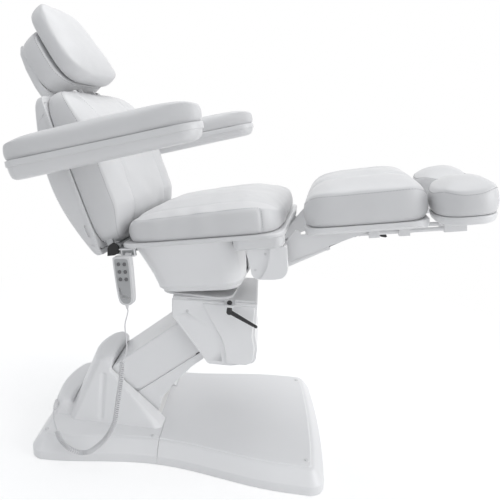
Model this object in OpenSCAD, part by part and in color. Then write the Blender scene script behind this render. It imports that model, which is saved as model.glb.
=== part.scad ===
// Electric pedicure chair: a two-piece base cover with a parallelogram lift arm, a lift head with a
// swivel, and a tilting seat that carries a reclining back, two arms, a head rest, a leg rest on a
// gas spring and two sliding foot pads. A hand control hangs on a curly cord.
// Millimetres. The origin is on the floor under the middle of the base, +X is to the feet, +Z is up.

/* [Base] */
// Length of the base cover
base_l = 880; // [860:5:940]
// Width of the base cover at its two ends
base_w = 572; // [560:2:600]
// Width of the base cover at its waist
waist_w = 484; // [476:2:496]
// Height of the upright wall round the base cover
wall_h = 30; // [26:1:34]
// Height of the base cover's flat top
base_h = 66; // [64:1:68]
// How far the sloping rim runs in from the wall
rim_in = 36; // [28:1:40]
// Wall of the moulded covers
cover_t = 4; // [3:0.5:4.5]
// Place of the seam between the front and the rear base cover
seam_x = -42; // [-46:1:-40]
// Height of the hood over the foot of the lift arm
hood_h = 262; // [260:1:280]
// Half width of the hood at its top
hood_half = 110; // [108:1:114]
// Height of the cheeks at the two sides of the lift arm's foot
cheek_h = 221; // [216:1:224]

/* [Lift] */
// Distance between the two pivots of the lift arm
lift_l = 330; // [326:1:334]
// Angle of the lift arm above level, in this pose
lift_rest = 38.2; // [37.6:0.1:38.8]
// Width of the lift arm's cover
arm_w = 190; // [184:1:192]
// Height of the lift arm's cover above the line of its pivots
arm_up = 50; // [46:1:52]
// Depth of the lift arm's cover below the line of its pivots
arm_down = 62; // [60:1:63]
// Upright distance between the two links of the lift
link_gap = 70; // [70:1:72]
// Diameter of the lift's pivot pins
pin_d = 16; // [12:1:18]
// Width of the lift head's cover
head_w = 240; // [236:1:244]
// Height of the lift head's cover above its upper pivot
head_up = 79; // [78:1:82]

/* [Seat] */
// Turn of the seat on its column, in this pose
swivel_rest = -7.5; // [-9:0.5:-6]
// Tilt of the seat, front up, in this pose
tilt_rest = 8.3; // [8:0.1:8.6]
// Diameter of the swivel column
column_d = 60; // [50:1:70]
// Height of the tilt axis above the lift head
tilt_up = 72; // [71:1:76]
// Width of the seat
seat_w = 500; // [494:2:506]
// Length of the seat shell
seat_l = 436; // [432:1:440]
// Height of the seat cushion's sewn edge above the shell
seat_edge = 66; // [60:1:70]
// Rise of the seat cushion's crown over its sewn edge
seat_crown = 30; // [20:1:36]

/* [Back] */
// Lean of the back from square to the seat, in this pose
back_rest = 13; // [12.6:0.1:13.4]
// Width of the back
back_w = 490; // [486:2:496]
// Length of the back
back_l = 452; // [448:1:456]
// Rise of the back cushion's crown over its sewn edge
back_crown = 34; // [24:1:38]
// Lean of the head rest from square to the seat, in this pose
head_lean = 28.7; // [28:0.1:29.4]
// Length of the head rest's front pad
head_pad_l = 256; // [246:1:262]
// Length of an arm
arm_l = 515; // [508:1:520]
// Width of an arm
arm_pad_w = 92; // [86:1:96]
// Distance from the middle of the chair to the middle of an arm
arm_y = 358; // [354:1:362]

/* [Leg rest] */
// Width of the leg rest
leg_w = 424; // [416:2:430]
// Length of the leg rest
leg_l = 284; // [280:1:286]
// Height of the leg cushion's sewn edge over its plate
leg_edge = 80; // [74:1:84]
// Diameter of the gas spring's tube
spring_d = 22; // [20:1:24]
// Diameter of the gas spring's rod
spring_rod_d = 10; // [8:1:12]
// Width of one foot pad
foot_w = 200; // [192:1:206]
// Length of one foot pad
foot_l = 130; // [124:1:136]

/* [Hand control] */
// Length of the hand control
handset_l = 136; // [132:1:138]
// Width of the hand control
handset_w = 52; // [50:1:54]
// Thickness of the hand control
handset_t = 22; // [21:1:24]
// Diameter of the cord
cord_d = 3.6; // [3.2:0.1:3.8]
// Outer diameter of the curly cord's curls
curl_d = 15; // [14:0.5:15.5]
// Number of curls
curls = 58; // [40:1:60]

/* [Hidden] */
$fn = 48;
white = "#f1f1f2";
pale = "#e4e5e7";
steel = "#b9bcc0";
black = "#17181a";
grey = "#77797b";
e = 0.01;
gap = 0.3;                         // clearance between pieces that face each other
loose = 0.08;                      // radial clearance of a pin or a rod in its bore

// ---------- shared outlines and solids ----------

function arc(cx, cy, r, a0, a1, n) =
  [for (i = [0:n]) let (a = a0 + (a1 - a0) * i / n) [cx + r * cos(a), cy + r * sin(a)]];
function at_z(points, z) = [for (p = points) [p.x, p.y, z]];
function mid(points) = [for (k = [0:2]) [for (p = points) p[k]] * [for (p = points) 1] / len(points)];
function rounded(x0, x1, y0, y1, r, n) = concat(
  arc(x1 - r, y0 + r, r, -90, 0, n), arc(x1 - r, y1 - r, r, 0, 90, n),
  arc(x0 + r, y1 - r, r, 90, 180, n), arc(x0 + r, y0 + r, r, 180, 270, n));
function turn(p, a) = [p.x * cos(a) - p.y * sin(a), p.x * sin(a) + p.y * cos(a)];

// A closed solid through rings of the same number of points, listed counter-clockwise from above.
module loft(rings) {
  n = len(rings[0]);
  m = len(rings);
  points = concat([for (r = rings) each r], [mid(rings[0]), mid(rings[m - 1])]);
  sides = [for (k = [0:m - 2], i = [0:n - 1]) let (j = (i + 1) % n, a = k * n)
    each [[a + i, a + n + j, a + j], [a + i, a + n + i, a + n + j]]];
  low = [for (i = [0:n - 1]) [m * n, i, (i + 1) % n]];
  high = [for (i = [0:n - 1]) let (a = (m - 1) * n) [m * n + 1, a + (i + 1) % n, a + i]];
  polyhedron(points, concat(sides, low, high));
}

// A plate: an outline in XZ, w wide about y.
module plate_xz(points, y, w) {
  translate([0, y + w / 2, 0]) rotate([90, 0, 0]) linear_extrude(w) polygon(points);
}

// A round pin along Y through [x, z], w long about y.
module pin_y(at, y, w, d) {
  translate([at.x, y + w / 2, at.y]) rotate([90, 0, 0]) cylinder(h = w, d = d);
}

// A round bar along X from [x, z], l long, at y.
module bar_x(at, y, l, d) {
  translate([at.x, y, at.y]) rotate([0, 90, 0]) cylinder(h = l, d = d);
}

// How a square grid is drawn in to a rounded outline, for a pad.
function draw_in(u, v, n) = let (m = max(abs(u), abs(v)))
  m == 0 ? 1 : m / pow(pow(abs(u), n) + pow(abs(v), n), 1 / n);

// A sewn pad on the plane z = 0. us and vs are its grid lines from -1 to 1, plan(u, v) is the place
// of a grid point and top(u, v) the height of the top skin. edge(u) is the height of the sewn edge,
// blow swells the side wall out at half that height, and pull draws it in at its foot.
module pad(us, vs, n, plan, top, edge, blow, pull) {
  nu = len(us);
  nv = len(vs);
  function at(i, j) = let (u = us[i], v = vs[j], s = draw_in(u, v, n)) [u * s, v * s];
  function grown(p, by) = p * (1 + by / max(norm(p), 1));
  rim = concat([for (i = [0:nu - 2]) [i, 0]], [for (j = [0:nv - 2]) [nu - 1, j]],
    [for (i = [nu - 1:-1:1]) [i, nv - 1]], [for (j = [nv - 1:-1:1]) [0, j]]);
  nr = len(rim);
  skin = [for (i = [0:nu - 1], j = [0:nv - 1]) let (q = at(i, j), p = plan(q.x, q.y))
    [p.x, p.y, top(q.x, q.y)]];
  function wall(k, by, share) = let (q = at(rim[k].x, rim[k].y), p = grown(plan(q.x, q.y), by))
    [p.x, p.y, edge(q.x) * share];
  middle = [for (k = [0:nr - 1]) wall(k, blow, 0.5)];
  foot = [for (k = [0:nr - 1]) wall(k, -pull, 0)];
  centre = plan(0, 0);
  a = nu * nv;
  b = a + nr;
  c = b + nr;
  function sk(i, j) = i * nv + j;
  top_faces = [for (i = [0:nu - 2], j = [0:nv - 2])
    each [[sk(i, j), sk(i, j + 1), sk(i + 1, j + 1)], [sk(i, j), sk(i + 1, j + 1), sk(i + 1, j)]]];
  wall_faces = [for (k = [0:nr - 1])
    let (l = (k + 1) % nr, p = sk(rim[k].x, rim[k].y), q = sk(rim[l].x, rim[l].y))
    each [[p, q, a + l], [p, a + l, a + k], [a + k, a + l, b + l], [a + k, b + l, b + k],
      [b + k, b + l, c]]];
  polyhedron(concat(skin, middle, foot, [[centre.x, centre.y, 0]]), concat(top_faces, wall_faces));
}

// ---------- pivots and frames ----------

pivot = [-178, 195];               // the lift arm's foot pivot
drop = [0, -link_gap];             // from an upper pivot of the lift to the lower one
head_at = pivot + lift_l * [cos(lift_rest), sin(lift_rest)];
head_top = head_at.y + head_up;
swivel_x = head_at.x - 23;         // the column's axis
tilt_x = -60;                      // the tilt axis, from the column
tilt_z = head_top + tilt_up;
back_hinge = [-122, 112];          // in the tilted frame, as the next one
leg_hinge = [290, 38];

module along_arm() translate([pivot.x, 0, pivot.y]) rotate([0, -lift_rest, 0]) children();
module along_link() translate([0, 0, -link_gap]) along_arm() children();
module turned() translate([swivel_x, 0, 0]) rotate([0, 0, swivel_rest]) children();
module tilted() turned() translate([tilt_x, 0, tilt_z]) rotate([0, -tilt_rest, 0]) children();
module leaned() tilted() translate([back_hinge.x, 0, back_hinge.y]) rotate([0, -back_rest, 0]) children();
// A place of the turned frame in the tilted frame, and the other way.
function tilted_place(p) = turn(p - [tilt_x, tilt_z], -tilt_rest);
function turned_place(p) = [tilt_x, tilt_z] + turn(p, tilt_rest);

// ---------- base ----------

half_l = base_l / 2;
base_edge = 46;                    // radius of the base's corners
end_bulge = 14;                    // how far the ends of the base swell out
seam_gap = 0.5;                    // half the gap of the seam

// One side of the base: the half width at x, drawn in at the waist.
function side_y(x, inset) = let (t = min(1, abs(x - seam_x) / (half_l - 70)))
  waist_w / 2 + (base_w - waist_w) / 2 * (1 - cos(180 * t)) / 2 - inset;
function end_x(y, inset) = half_l - inset - end_bulge * pow(y / (base_w / 2), 2);

// The outline of one end, from the seam round to the seam, s = 1 at the front and -1 at the rear.
function end_outline(s, inset, from_x) = let (
    r = max(base_edge - inset, 8), w = side_y(s * half_l, inset), l = end_x(w - r, inset),
    near = [for (i = [0:8]) let (x = from_x + (l - r - from_x) * i / 8) [x, -side_y(s * x, inset)]],
    corner = arc(l - r, -w + r, r, -82, -8, 5),
    end = [for (i = [-2:2]) let (y = i * 0.4 * (w - r)) [end_x(y, inset), y]],
    far = [for (i = [5:-1:0]) [corner[i].x, -corner[i].y]],
    back = [for (i = [8:-1:0]) [near[i].x, -near[i].y]],
    all = concat(near, corner, end, far, back))
  s > 0 ? all : [for (p = all) [-p.x, -p.y]];

module base_end(s, from_x, inset) {
  slope = base_h - wall_h;
  rings = [[0, 1.5], [2, 0], [wall_h - 3, 0], [wall_h, 2.5], [wall_h + slope * 0.55, rim_in * 0.42],
    [base_h - 3, rim_in * 0.8], [base_h, rim_in]];
  loft([for (r = rings) at_z(end_outline(s, r[1] + inset, from_x),
    inset > 0 && r[0] == 0 ? -1 : r[0] - inset)]);
}

lip_x = -62;                       // front edge of the lift arm's opening
arm_side = 5;                      // clearance of the lift arm's cover in its slot
slot_half = arm_w / 2 + arm_side;
// The front cover, with a tongue back to the opening and a turned-down lip there.
module front_cover() color(white) difference() {
  union() {
    base_end(1, seam_x + seam_gap, 0);
    translate([lip_x, -slot_half + 1, base_h - cover_t])
      cube([seam_x - lip_x + 20, 2 * slot_half - 2, cover_t]);
    translate([lip_x, -slot_half + 1, base_h - 14]) cube([cover_t, 2 * slot_half - 2, 14]);
  }
  difference() {
    base_end(1, seam_x - 5, cover_t);
    screw_bosses(1);
  }
  screw_holes(1);
}

screw_d = 9;
shank_d = 5;
boss_w = 18;
foot_seat = 10;                    // underside of the base frame
rail_h = 30;
rail_top = foot_seat + rail_h;
screw_places = [[half_l - 58, 224], [seam_x - 21, 199], [48 - half_l, 228]];
module screw_holes(s) {
  for (p = screw_places, y = [-1, 1]) if (p.x * s > 0)
    translate([p.x, y * p.y, 0]) cylinder(h = 200, d = screw_d + 2 * gap);
}
// Bosses under a cover, down to the frame's rails.
module screw_bosses(s) {
  for (p = screw_places, y = [-1, 1]) if (p.x * s > 0)
    translate([p.x, y * p.y, rail_top + gap]) cylinder(h = base_h - 3 - rail_top, d = boss_w);
}
module cover_screws() color(pale) for (p = screw_places, y = [-1, 1]) translate([p.x, y * p.y, 0])
  difference() {
    union() {
      translate([0, 0, base_h - 6]) cylinder(h = 5, d = screw_d);
      translate([0, 0, rail_top + gap]) cylinder(h = base_h - 5 - rail_top, d = shank_d);
    }
    translate([0, 0, base_h - 3]) cylinder(h = 4, d = 4, $fn = 6);
  }

// The hood over the arm's foot, in level slices that are drawn in by t.
hood_rear = -345;                  // the hood's rear edge at its foot
hood_bow = 20;                     // its rear face swells out by this
cheek_front = -44;                 // the cheeks' front edge at their foot
hood_front = -215;                 // the top's front edge
function hood_slice(x0, x1, half, t) = let (h = half - t, back = x0 + t) concat(
  [[x1 - t - 18, -h], [x1 - t, -h + 14], [x1 - t, h - 14], [x1 - t - 18, h], [back + 16, h]],
  [for (k = [4:-1:-4]) let (v = k / 4) [back - (hood_bow + 2) * (1 - v * v), v * (h - 14)]],
  [[back + 16, -h]]);
module hood_slab(x0, x1, half, z, t) {
  translate([0, 0, z]) linear_extrude(1) polygon(hood_slice(x0, x1, half, t));
}
module hood_form(t) difference() {
  union() {
    hull() {
      hood_slab(hood_rear, cheek_front, 165, t > 0 ? base_h - 20 : base_h - 2, t);
      hood_slab(-312, -136, 138, 150, t);
      hood_slab(-279, -190, hood_half + 4, cheek_h - t, t);
      hood_slab(-268, hood_front, hood_half, hood_h - 10 - t, t);
      hood_slab(-254, hood_front - 4, hood_half - 10, hood_h - 1 - t, t);
    }
    hull() {
      hood_slab(-415, -340, 145, t > 0 ? base_h - 20 : base_h - 2, t);
      hood_slab(-398, -352, 134, 104 - t, t);
      hood_slab(-390, -358, 126, 113 - t, t);
    }
  }
  // above the line of the cheeks' front ridge
  plate_xz([[cheek_front + 4 - 1.4 * t, base_h], [hood_front - 3 - t, cheek_h - t / 2],
    [hood_front + 3 - t, hood_h + 40], [cheek_front + 80, hood_h + 40]], 0, 400);
}
module rear_cover() color(white) difference() {
  union() {
    base_end(-1, -seam_x + seam_gap, 0);
    hood_form(0);
  }
  difference() {
    base_end(-1, -seam_x - 5, cover_t);
    screw_bosses(-1);
  }
  // the hollow hood, less the walls of the arm's slot
  difference() {
    hood_form(cover_t);
    for (y = [-1, 1]) translate([hood_front, y * (slot_half + cover_t / 2) - cover_t / 2, 0])
      cube([300, cover_t, 400]);
  }
  translate([hood_front, -slot_half, -1]) cube([300, 2 * slot_half, 400]);
  pin_y(pivot, 0, 2 * slot_half, 2 * (arm_up + 2));
  side_flutes();
  bump_slot();
  screw_holes(-1);
  inlet_hole();
  gland_hole();
}
// A shallow upright flute in each side of the hood, less deep than the wall.
flute_x = -240;
flute_d = 22;
flute_low = 169;                   // the flute's axis from the middle, at its foot
flute_high = hood_half + 16;       // and at its top
module side_flutes() for (y = [-1, 1]) hull() {
  translate([flute_x, y * flute_low, base_h + 14]) cylinder(h = 1, d = flute_d);
  translate([flute_x, y * flute_high, cheek_h - 6]) cylinder(h = 1, d = flute_d);
}
// The slot between the hood and the bump behind it.
module bump_slot() translate([-352, -116, 92]) cube([6, 232, 30]);

foot_x = half_l - 70;              // the rubber feet, from the middle
module base_feet() color(black) for (x = [-foot_x, foot_x], y = [-200, 200]) translate([x, y, 0]) {
  cylinder(h = foot_seat - gap, d = 40);
  cylinder(h = foot_seat + 8, d = 12);
}
frame_end = half_l - 50;           // the ends of the frame's rails, from the middle
base_rail_y = 200;                 // the frame's rails, from the middle
base_rail_w = 40;
tab_w = 24;                        // the frame's tabs under the covers' screws
cross_h = 16;
cheek_y = 70;                      // the frame's cheeks, from the middle
cheek_t = 8;
module base_frame() color(steel) difference() {
  union() {
    for (y = [-1, 1]) translate([-frame_end, y * base_rail_y - base_rail_w / 2, foot_seat])
      cube([2 * frame_end, base_rail_w, rail_h]);
    for (p = screw_places, y = [-1, 1]) translate([p.x - tab_w / 2, y * p.y - tab_w / 2, rail_top - 4])
      cube([tab_w, tab_w, 4]);
    for (x = [-frame_end, frame_end - 40]) translate([x, -185, foot_seat]) cube([40, 370, cross_h]);
    translate([-330, -185, foot_seat]) cube([165, 370, 6]);
    translate([80, -185, foot_seat]) cube([240, 370, 6]);
    for (y = [-1, 1]) plate_xz([[-300, foot_seat + 5], [-166, foot_seat + 5], [-160, 110],
      pivot + [18, -6], pivot + [10, 18], pivot + [-10, 18], pivot + [-22, -6]], y * cheek_y, cheek_t);
    pin_y(pivot, 0, 2 * cheek_y + cheek_t + 8, pin_d);
    for (y = [-1, 1]) pin_y(pivot + drop, y * 57, 34, pin_d);
    // guide of the lift motor's rod
    translate([-252, -20, foot_seat + 5]) cube([10, 40, motor_z + 12 - foot_seat]);
  }
  for (x = [-foot_x, foot_x], y = [-200, 200]) translate([x, y, 0]) cylinder(h = 100, d = 12 + 2 * gap);
  bar_x([-260, motor_z], 0, 40, lift_rod_d + 2 * gap);
}

// ---------- lift motor, in the hood's rear ----------

crank_l = 150;                     // from the foot pivot to the crank's pin
crank_a = -74;
crank = crank_l * [cos(crank_a), sin(crank_a)];
motor_z = 49;
lift_rod_d = 18;
motor_wall = 8;
motor_rear = 45 - half_l;
motor_front = -255;
module lift_motor() color(steel) difference() {
  union() {
    bar_x([motor_rear, motor_z], 0, motor_front - motor_rear, lift_rod_d + 2 * motor_wall);
    translate([motor_rear + 7, -17, foot_seat + cross_h]) cube([30, 34, 24]);
  }
  bar_x([motor_rear + 21, motor_z], 0, 200, lift_rod_d + 2 * gap);
}
block_w = 20;
module lift_rod() color(steel) {
  at = pivot.x + crank.x;
  translate([at - 14, -block_w / 2, motor_z - 14]) cube([28, block_w, 28]);
  bar_x([-272, motor_z], 0, at - 13 + 272, lift_rod_d);
}

// ---------- lift arm ----------

beam_y = 58;                       // the arm's beams, from the middle
beam_t = 6;
boss_t = 8;                        // the bosses at the ends of the beams
boss_d = 52;
module lift_arm_frame() color(steel) difference() {
  union() {
    for (y = [-1, 1]) {
      along_arm() plate_xz([[0, -20], [lift_l, -20], [lift_l, 20], [0, 20]], y * beam_y, beam_t);
      pin_y(pivot, y * beam_y, boss_t, boss_d);
      pin_y(head_at, y * beam_y, boss_t, boss_d);
      // the crank's plates, with studs that face the motor rod's block
      plate_xz([pivot + [-15, 0], pivot + crank + [-9, 0], pivot + crank + [0, -9],
        pivot + crank + [9, 0], pivot + [15, 0]], y * (block_w / 2 + 6), 5);
      pin_y(pivot + crank, y * (block_w / 2 + 2.2), 4.4 - 2 * gap, 10);
    }
    pin_y(pivot, 0, 2 * beam_y, 30);
    along_arm() translate([lift_l * 0.62, -beam_y, 2]) cube([50, 2 * beam_y, 6]);
    // brackets that carry the cover
    along_arm() for (y = [-1, 1]) translate([lift_l * 0.5, y > 0 ? beam_y : -cover_in, 8])
      cube([30, cover_in - beam_y, 6]);
  }
  pin_y(pivot, 0, 200, pin_d + 2 * loose);
  pin_y(head_at, 0, 200, pin_d + 2 * loose);
}

// The moulded cover of the lift arm: round at its foot, open below and at its head.
cover_in = arm_w / 2 - cover_t - gap;  // half width inside the covers
skin_end = 262;                    // where the top skin stops, along the arm
arm_outline = concat(arc(0, 0, arm_up, 90, 262, 14), [[14, -arm_down], [250, -arm_down], [300, -arm_up]],
  arc(lift_l, 0, arm_up, -80, 80, 8), [[skin_end, arm_up]]);
module arm_cover() color(white) along_arm() difference() {
  union() {
    plate_xz(arm_outline, 0, arm_w - 6);
    // the flat sides, a bevel in from the outline
    plate_xz([for (p = arm_outline) [p.x * 0.985 + 2, p.y * 0.95]], 0, arm_w);
  }
  plate_xz(concat(arc(0, 0, arm_up - cover_t, 90, 176, 8), [[-arm_up - 20, -2], [-arm_up - 20, -150],
    [500, -150], [500, 100], [skin_end, 100], [skin_end, arm_up - cover_t]]), 0, arm_w - 2 * cover_t);
  pin_y([0, 0], 0, arm_w - 2, pin_d + 8);
}

// The lower link, with a moulded trough that ends in a round foot about its own pivot.
link_y = 46;
foot_r = 118;
link_top = -10.5;                  // top edge of the trough, from the line of its pivots
trough = concat([[-20, link_top - 16], [6, link_top], [300, link_top], [302, -24], [293, -32],
  [250, -33], [206, -41], [160, -50], [142, -56], [128, -62]],
  arc(0, 0, foot_r, -33, -76, 5), [[-20, -40]]);
// its hollow, open above, and at its foot open to the rear
trough_hollow = concat([[24, 60], [320, 60], [320, -20], [293, -28], [250, -29], [206, -37], [161, -46],
  [139, -52], [124, -58]], arc(0, 0, foot_r - cover_t, -33, -76, 5), [[24, -60]]);
module lower_link() color(white) {
  along_link() difference() {
    plate_xz(trough, 0, arm_w);
    plate_xz(trough_hollow, 0, arm_w - 2 * cover_t);
    plate_xz([[-60, 60], [-60, -150], [25, -150], [25, 60]], 0, arm_w - 2 * cover_t);
  }
  difference() {
    union() {
      for (y = [-1, 1]) {
        along_link() plate_xz([[0, -14], [lift_l, -14], [lift_l, 14], [0, 14]], y * link_y, beam_t);
        pin_y(pivot + drop, y * link_y, boss_t, 34);
        pin_y(head_at + drop, y * link_y, boss_t, 34);
        // brackets that carry the trough
        for (x = [96, 240]) along_link() translate([x, y > 0 ? link_y : -arm_w / 2 + 1, -22])
          cube([12, arm_w / 2 - 1 - link_y, 10]);
      }
      along_link() translate([150, -link_y, -8]) cube([40, 2 * link_y, 6]);
    }
    pin_y(pivot + drop, 0, 200, pin_d + 2 * loose);
    pin_y(head_at + drop, 0, 200, pin_d + 2 * loose);
  }
}

// ---------- lift head ----------

plate_t = 6;                       // the fixed top plate
plate_half = 112;
lever_at = [head_at.x + 68, -148]; // the lock lever's stem
lever_d = 10;
module head_frame() color(white) difference() {
  union() {
    for (y = [-1, 1]) plate_xz([head_at + [-40, head_up], head_at + [-40, 0], head_at + drop + [-12, -24],
      head_at + drop + [14, -24], head_at + [60, head_up]], y * cheek_y, beam_t);
    translate([head_at.x - 101, -plate_half, head_top + gap]) cube([242, 2 * plate_half, plate_t]);
    pin_y(head_at, 0, 2 * cheek_y + beam_t, pin_d);
    pin_y(head_at + drop, 0, 2 * cheek_y + beam_t, pin_d);
    translate([head_at.x - 60, -100, head_top - 6]) cube([170, 200, 6 + gap]);
    translate([swivel_x, 0, head_top - 28]) cylinder(h = 28 + plate_t, d = column_d + 20);
    // the ear of the lock lever
    translate([lever_at.x - 15, lever_at.y - 13, head_top + gap]) cube([30, 60, plate_t]);
  }
  translate([swivel_x, 0, head_top - 60]) cylinder(h = 100, d = column_d + 2 * loose);
  translate([lever_at.x, lever_at.y, head_top - 20]) cylinder(h = 60, d = lever_d + 2 * loose);
}

head_profile = concat([[-103, 0], [-103, 25 - head_up], [5, -117 - head_up], [11, -121 - head_up],
  [75, -121 - head_up]], arc(125, -87 - head_up, 24, -62, 10, 5),
  [[151, -59 - head_up], [141, -15 - head_up], [145, 63 - head_up], [145, 0]]);
head_outline = [for (p = head_profile) [head_at.x + p.x, head_top + p.y]];
head_screw = head_at + [-57, 44];
screw_seat = 5.4;                  // how deep the screws' heads lie in the sides
module head_cover() color(white) difference() {
  outer = head_w / 2;
  union() {
    plate_xz(head_outline, 0, head_w - 8);
    plate_xz([for (p = head_outline) (p - head_at) * 0.97 + head_at + [0.4, 0.4]], 0, head_w);
  }
  // hollow, open to the rear, below and above
  plate_xz([[head_at.x - 200, head_top + 10], [head_at.x - 200, 300], [head_at.x - 20, 200],
    [head_outline[10].x - cover_t, 200], [head_outline[11].x - cover_t, head_outline[11].y],
    [head_outline[12].x - cover_t, head_outline[12].y], [head_outline[13].x - cover_t, head_top + 10]],
    0, head_w - 8 - 2 * cover_t);
  for (y = [-1, 1]) {
    pin_y(head_screw, y * (outer + 5), 10 + 2 * screw_seat, screw_d + 2 * gap);
    pin_y(head_screw, y * outer, 40, shank_d + 2 * gap);
  }
  // the flat rear panel of each side, a step below the curved ridge in front of it
  for (y = [-1, 1]) plate_xz([head_at + [-96, 72], head_at + [-96, 28], head_at + [6, -108],
    head_at + [50, -108], head_at + [42, -60], head_at + [22, -10], head_at + [-10, 40],
    head_at + [-36, 72]], y * outer, 2);
}
module head_screws() color(pale) for (y = [-1, 1]) {
  difference() {
    pin_y(head_screw, y * (head_w / 2 - screw_seat + gap + 1.8), 3.6, screw_d);
    pin_y(head_screw, y * head_w / 2, 6, 4);
  }
  pin_y(head_screw, y * (head_w / 2 - 10.2), 10.4, shank_d);
}

module lock_lever() color(black) {
  z = head_top;
  x = lever_at.x;
  y = lever_at.y;
  hub_z = z - 18;
  translate([x, y, hub_z]) cylinder(h = 34, d = lever_d);
  translate([x, y, hub_z]) cylinder(h = 18, d = 14);
  translate([x, y, z + gap + plate_t + gap]) cylinder(h = 7, d = 15, $fn = 18);
  hull() {
    translate([x, y, hub_z]) sphere(d = 17, $fn = 24);
    translate([x, y, hub_z + 8]) sphere(d = 15, $fn = 24);
  }
  hull() {
    translate([x + 2, y - 1, hub_z + 1]) sphere(d = 13, $fn = 20);
    translate([x + 76, y - 6, hub_z - 36]) sphere(d = 9, $fn = 20);
  }
}

// ---------- swivel and tilt motor ----------

disc_z = head_top + gap + plate_t + gap;
disc_t = 6;
yoke_y = 62;
yoke_t = 6;
tilt_lug = [80, tilt_z + 82];      // in the turned frame
tilt_pin_d = 14;
module swivel_frame() color(white) turned() difference() {
  union() {
    translate([0, 0, head_top - 27]) cylinder(h = 27 + disc_z - head_top + disc_t, d = column_d);
    translate([0, 0, disc_z]) linear_extrude(disc_t) polygon(rounded(-108, 108, -108, 108, 44, 6));
    for (y = [-1, 1]) plate_xz([[tilt_x - 26, disc_z + 4], [tilt_x + 80, disc_z + 4],
      [tilt_x + 12, tilt_z + 12], [tilt_x - 12, tilt_z + 12]], y * yoke_y, yoke_t);
    pin_y([tilt_x, tilt_z], 0, 2 * yoke_y + 28, tilt_pin_d);
  }
  translate([0, 0, head_top - 60]) cylinder(h = 200, d = column_d - 20);
}
tilt_rod_d = 14;
module tilt_motor() color(grey) turned() difference() {
  translate([tilt_lug.x - 18, -20, disc_z + disc_t]) cube([36, 40, 84]);
  translate([tilt_lug.x, 0, disc_z + disc_t + 10]) cylinder(h = 100, d = tilt_rod_d + 2 * gap);
}
module tilt_rod() color(steel) turned() {
  z0 = disc_z + disc_t + 40;
  translate([tilt_lug.x, 0, z0]) cylinder(h = tilt_lug.y - 10 - z0, d = tilt_rod_d);
  translate([tilt_lug.x - 13, -9, tilt_lug.y - 11]) cube([26, 18, 22]);
}

// ---------- seat, in its own tilted frame ----------

band_low = 113;                    // underside of the seat shell
band_t = 12;
band_z = band_low + band_t;
seat_x0 = -100;
seat_x1 = seat_x0 + seat_l;
rail_y = 150;
rail_t = 24;
ear_y = back_w / 2 - 19;           // ears of the back's hinge, from the middle
upright_y = ear_y - 10;            // the back frame's uprights
hinge_d = 12;
hinge_tube_d = 22;                 // the back frame's cross tube, round the hinge
seat_rail_x = back_hinge.x + hinge_tube_d / 2 + 1.5;
leg_ear_y = 186;
leg_arm_y = 174;                   // the leg frame's arms
lug_y = yoke_y + 10;
spring_foot = [262, -34];
spring_head = [540, 74];
tilt_at = tilted_place(tilt_lug);

module seat_frame() color(steel) tilted() difference() {
  top = band_low - gap;
  union() {
    for (y = [-1, 1]) {
      translate([seat_rail_x, y * rail_y - 15, top - rail_t]) cube([260 - seat_rail_x, 30, rail_t]);
      plate_xz([back_hinge + [-14, -14], back_hinge + [-14, 10], back_hinge + [4, 14],
        [seat_x0 - 2, back_hinge.y + 10], [seat_x0 - 2, top], [back_hinge.x + 60, top],
        [back_hinge.x + 60, top - rail_t]], y * ear_y, 6);
      pin_y(back_hinge, y * (ear_y - 3), 28, hinge_d);
      translate([back_hinge.x + 16, y > 0 ? rail_y : -ear_y - 3, top - rail_t])
        cube([16, ear_y + 3 - rail_y, rail_t]);
      plate_xz([[leg_hinge.x - 62, top - 18], leg_hinge + [-26, -18], leg_hinge + [12, -18],
        leg_hinge + [14, 12], [leg_hinge.x - 4, top - 22]], y * leg_ear_y, 5);
      pin_y(leg_hinge, y * (leg_ear_y - 3), 36, hinge_d);
      translate([leg_hinge.x - 62, y > 0 ? rail_y : -leg_ear_y - 2, top - 26])
        cube([30, leg_ear_y + 2 - rail_y, 12]);
      // lugs of the tilt axis
      plate_xz([[-30, top - 18], [30, top - 18], [14, -14], [-14, -14]], y * lug_y, 6);
      // lug of the tilt motor's rod, with studs that face its block
      plate_xz([tilt_at + [-10, -8], tilt_at + [10, -8], [224, top - 10], [196, top - 10]], y * 13, 6);
      pin_y(tilt_at, y * (9.6 + gap / 2), 1.8 - gap, 10);
      // bracket of the gas spring
      plate_xz([spring_foot + [-10, -10], spring_foot + [10, -8], [spring_foot.x + 4, top - 14],
        [spring_foot.x - 34, top - 14]], y * 17, 5);
      // hanger of the back motor
      plate_xz([[118, top - 20], [160, top - 20], [160, 80], [118, 80]], back_side + y * 18, 4);
    }
    pin_y(spring_foot, 0, 38, 8);
    for (x = [-40, 214]) translate([x, -rail_y, top - rail_t]) cube([30, 2 * rail_y, 16]);
    translate([118, back_side - 20, top - rail_t]) cube([42, rail_y - back_side + 20, 8]);
  }
  for (y = [-1, 1]) pin_y([0, 0], y * lug_y, 20, tilt_pin_d + 2 * loose);
}

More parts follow.
